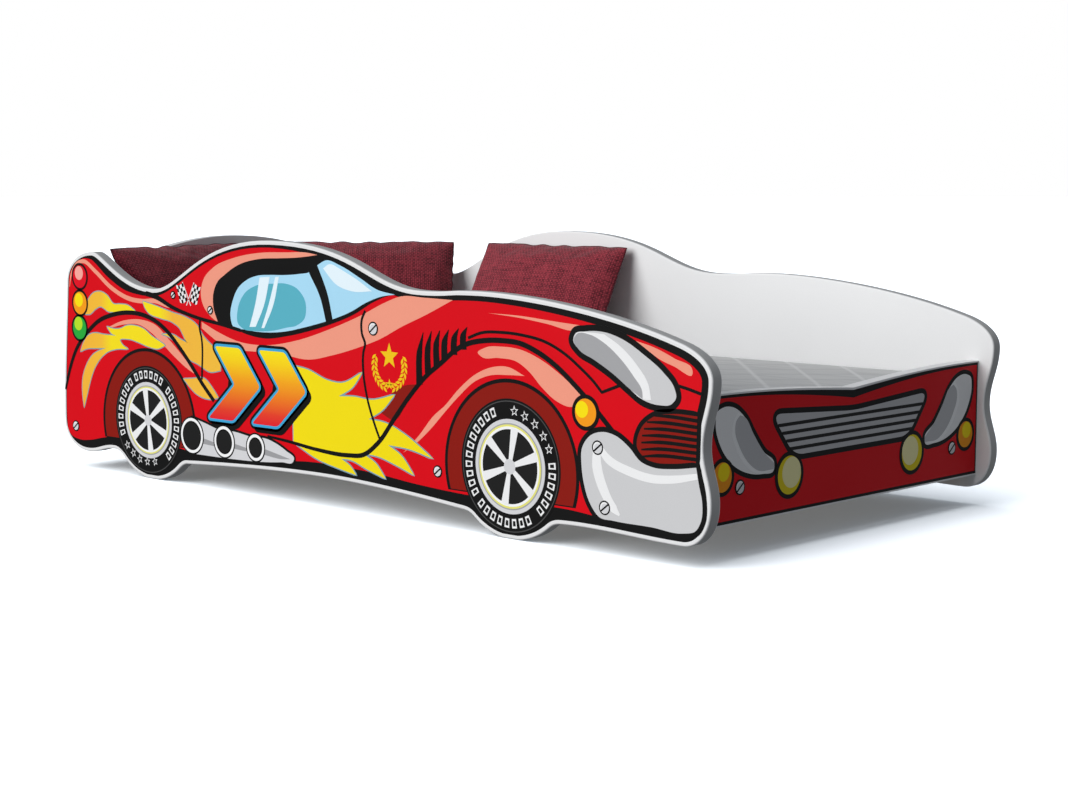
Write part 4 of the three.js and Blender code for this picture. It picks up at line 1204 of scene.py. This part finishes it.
def cushion_place(solid):
    """A cushion's middle and its width, height and outward directions, taken from its solid: the directions
    in which its points spread most, second most and least."""
    points = np.zeros(len(solid.data.vertices) * 3)
    solid.data.vertices.foreach_get("co", points)
    points = np.unique(points.reshape(-1, 3).round(6), axis=0)
    centre = points.mean(0)
    _, axes = np.linalg.eigh(np.cov((points - centre).T))
    width, tall = axes[:, 2], axes[:, 1] * np.sign(axes[2, 1])
    out = np.cross(width, tall)
    turned_up = np.sign(out[2])
    return centre, width * turned_up, tall, out * turned_up


def swollen(cloth, grid_points, most):
    """The places of a cloth's points after air pressure has blown it up for 20 frames with no weight, none
    of them further than the most from where it began."""
    blown = cloth.modifiers.new("blown", "CLOTH")
    blown.settings.quality = 6
    blown.settings.mass = 0.25
    blown.settings.tension_stiffness = 22
    blown.settings.compression_stiffness = 22
    blown.settings.shear_stiffness = 8
    blown.settings.bending_stiffness = 0.35
    blown.settings.use_pressure = True
    blown.settings.uniform_pressure_force = 4
    blown.settings.effector_weights.gravity = 0
    blown.point_cache.frame_start, blown.point_cache.frame_end = 1, 20
    for frame_number in range(1, 21):
        bpy.context.scene.frame_set(frame_number)
    ready = cloth.evaluated_get(bpy.context.evaluated_depsgraph_get())
    after = np.zeros(len(ready.data.vertices) * 3)
    ready.data.vertices.foreach_get("co", after)
    cloth.modifiers.remove(blown)
    bpy.context.scene.frame_set(1)
    moved = after.reshape(-1, 3) - grid_points
    far = np.linalg.norm(moved, axis=1, keepdims=True)
    return grid_points + moved * np.minimum(1, most / np.maximum(far, 1e-9))


def cloth_place(tree):
    """The place on a cushion's cloth before it was blown up and leaned."""
    return node(tree, "ShaderNodeAttribute", attribute_name="cloth_place").outputs["Vector"]


linen = woven("burgundy_linen", "A43A46", "4A121D", 270, 0.4, cloth_place, 0.0015, 0.12)
seam_thread = woven("seam_thread", "5C1C28", "3A0E16", 700, 0.1, cloth_place, 0.0004, 0.05)
u, v = np.meshgrid(np.linspace(-1, 1, ACROSS), np.linspace(-1, 1, DOWN), indexing="ij")
grid = np.arange(ACROSS * DOWN).reshape(ACROSS, DOWN)
rim = np.concatenate([grid[:, 0], grid[-1, 1:], grid[-2::-1, -1], grid[0, -2:0:-1]])
inside = grid[1:-1, 1:-1]
back = grid.copy()
back[1:-1, 1:-1] = np.arange(inside.size).reshape(inside.shape) + ACROSS * DOWN
quads = [np.stack([g[:-1, :-1], g[1:, :-1], g[1:, 1:], g[:-1, 1:]], -1).reshape(-1, 4) for g in (grid, back)]
cushion_faces = np.vstack([quads[0], quads[1][:, ::-1]]).tolist()

for order, name in enumerate(("near", "corner", "far")):
    centre, width, tall, out = cushion_place(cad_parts[f"cushion_{name}"])
    chance = np.random.default_rng(40 + order)
    full = ((1 - u**2) * (1 - v**2)) ** 0.5
    phase = chance.uniform(0, 6.28, 4)
    ripple = SEAM_RIPPLE * (np.sin(17 * u + phase[0]) + np.sin(29 * v + phase[1]) + np.sin(23 * u + phase[2]))
    flat_x = CUSHION_WIDTH / 2 * u * (1 + 0.012 * (1 - v**2)) + ripple * (np.abs(u) > 0.95) * (1 - v**2)
    flat_y = CUSHION_TALL / 2 * v * (1 + 0.035 * (1 - u**4)) + ripple * (np.abs(v) > 0.95) * (1 - u**2)
    deep = START_SHARE * CUSHION_THICK / 2 * full
    front = np.stack([flat_x, flat_y, deep], -1)
    behind = np.stack([flat_x, flat_y, -deep], -1)[1:-1, 1:-1]
    local = np.vstack([front.reshape(-1, 3), behind.reshape(-1, 3)])
    cushion = piece(f"cushion_{name}_cover", local, cushion_faces, [True] * len(cushion_faces))
    spot = cushion.data.attributes.new("cloth_place", "FLOAT_VECTOR", "POINT")
    spot.data.foreach_set("vector", local.ravel())
    blown = swollen(cushion, local, MOST_BLOWN)
    local += (blown - local) * np.array((0.25, 0.25, 1.0))
    local -= (local.max(0) + local.min(0)) / 2
    whole = np.array([CUSHION_WIDTH + 0.012, CUSHION_TALL + 0.006, CUSHION_THICK - 0.002])
    local *= whole / np.ptp(local, axis=0)
    points = centre + local @ np.stack([width, tall, out])
    cushion.data.vertices.foreach_set("co", points.ravel())
    cushion.data.update()
    ends = np.zeros(len(cushion.data.edges) * 2, int)
    cushion.data.edges.foreach_get("vertices", ends)
    folded = np.isin(ends.reshape(-1, 2), rim).all(1).astype(float)
    cushion.data.attributes.new("crease_edge", "FLOAT", "EDGE").data.foreach_set("value", folded)
    smoother = cushion.modifiers.new("smoother", "SUBSURF")
    smoother.levels = smoother.render_levels = 1
    cushion.data.materials.append(linen)
    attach(cushion, f"cushion_{name}")
    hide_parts(f"cushion_{name}")

    sewn = tube(f"cushion_{name}_seam", points[rim], 0.0011, 6)
    spot = sewn.data.attributes.new("cloth_place", "FLOAT_VECTOR", "POINT")
    spot.data.foreach_set("vector", np.repeat(local[rim], 6, 0).ravel())
    sewn.data.materials.append(seam_thread)
    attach(sewn, f"cushion_{name}")
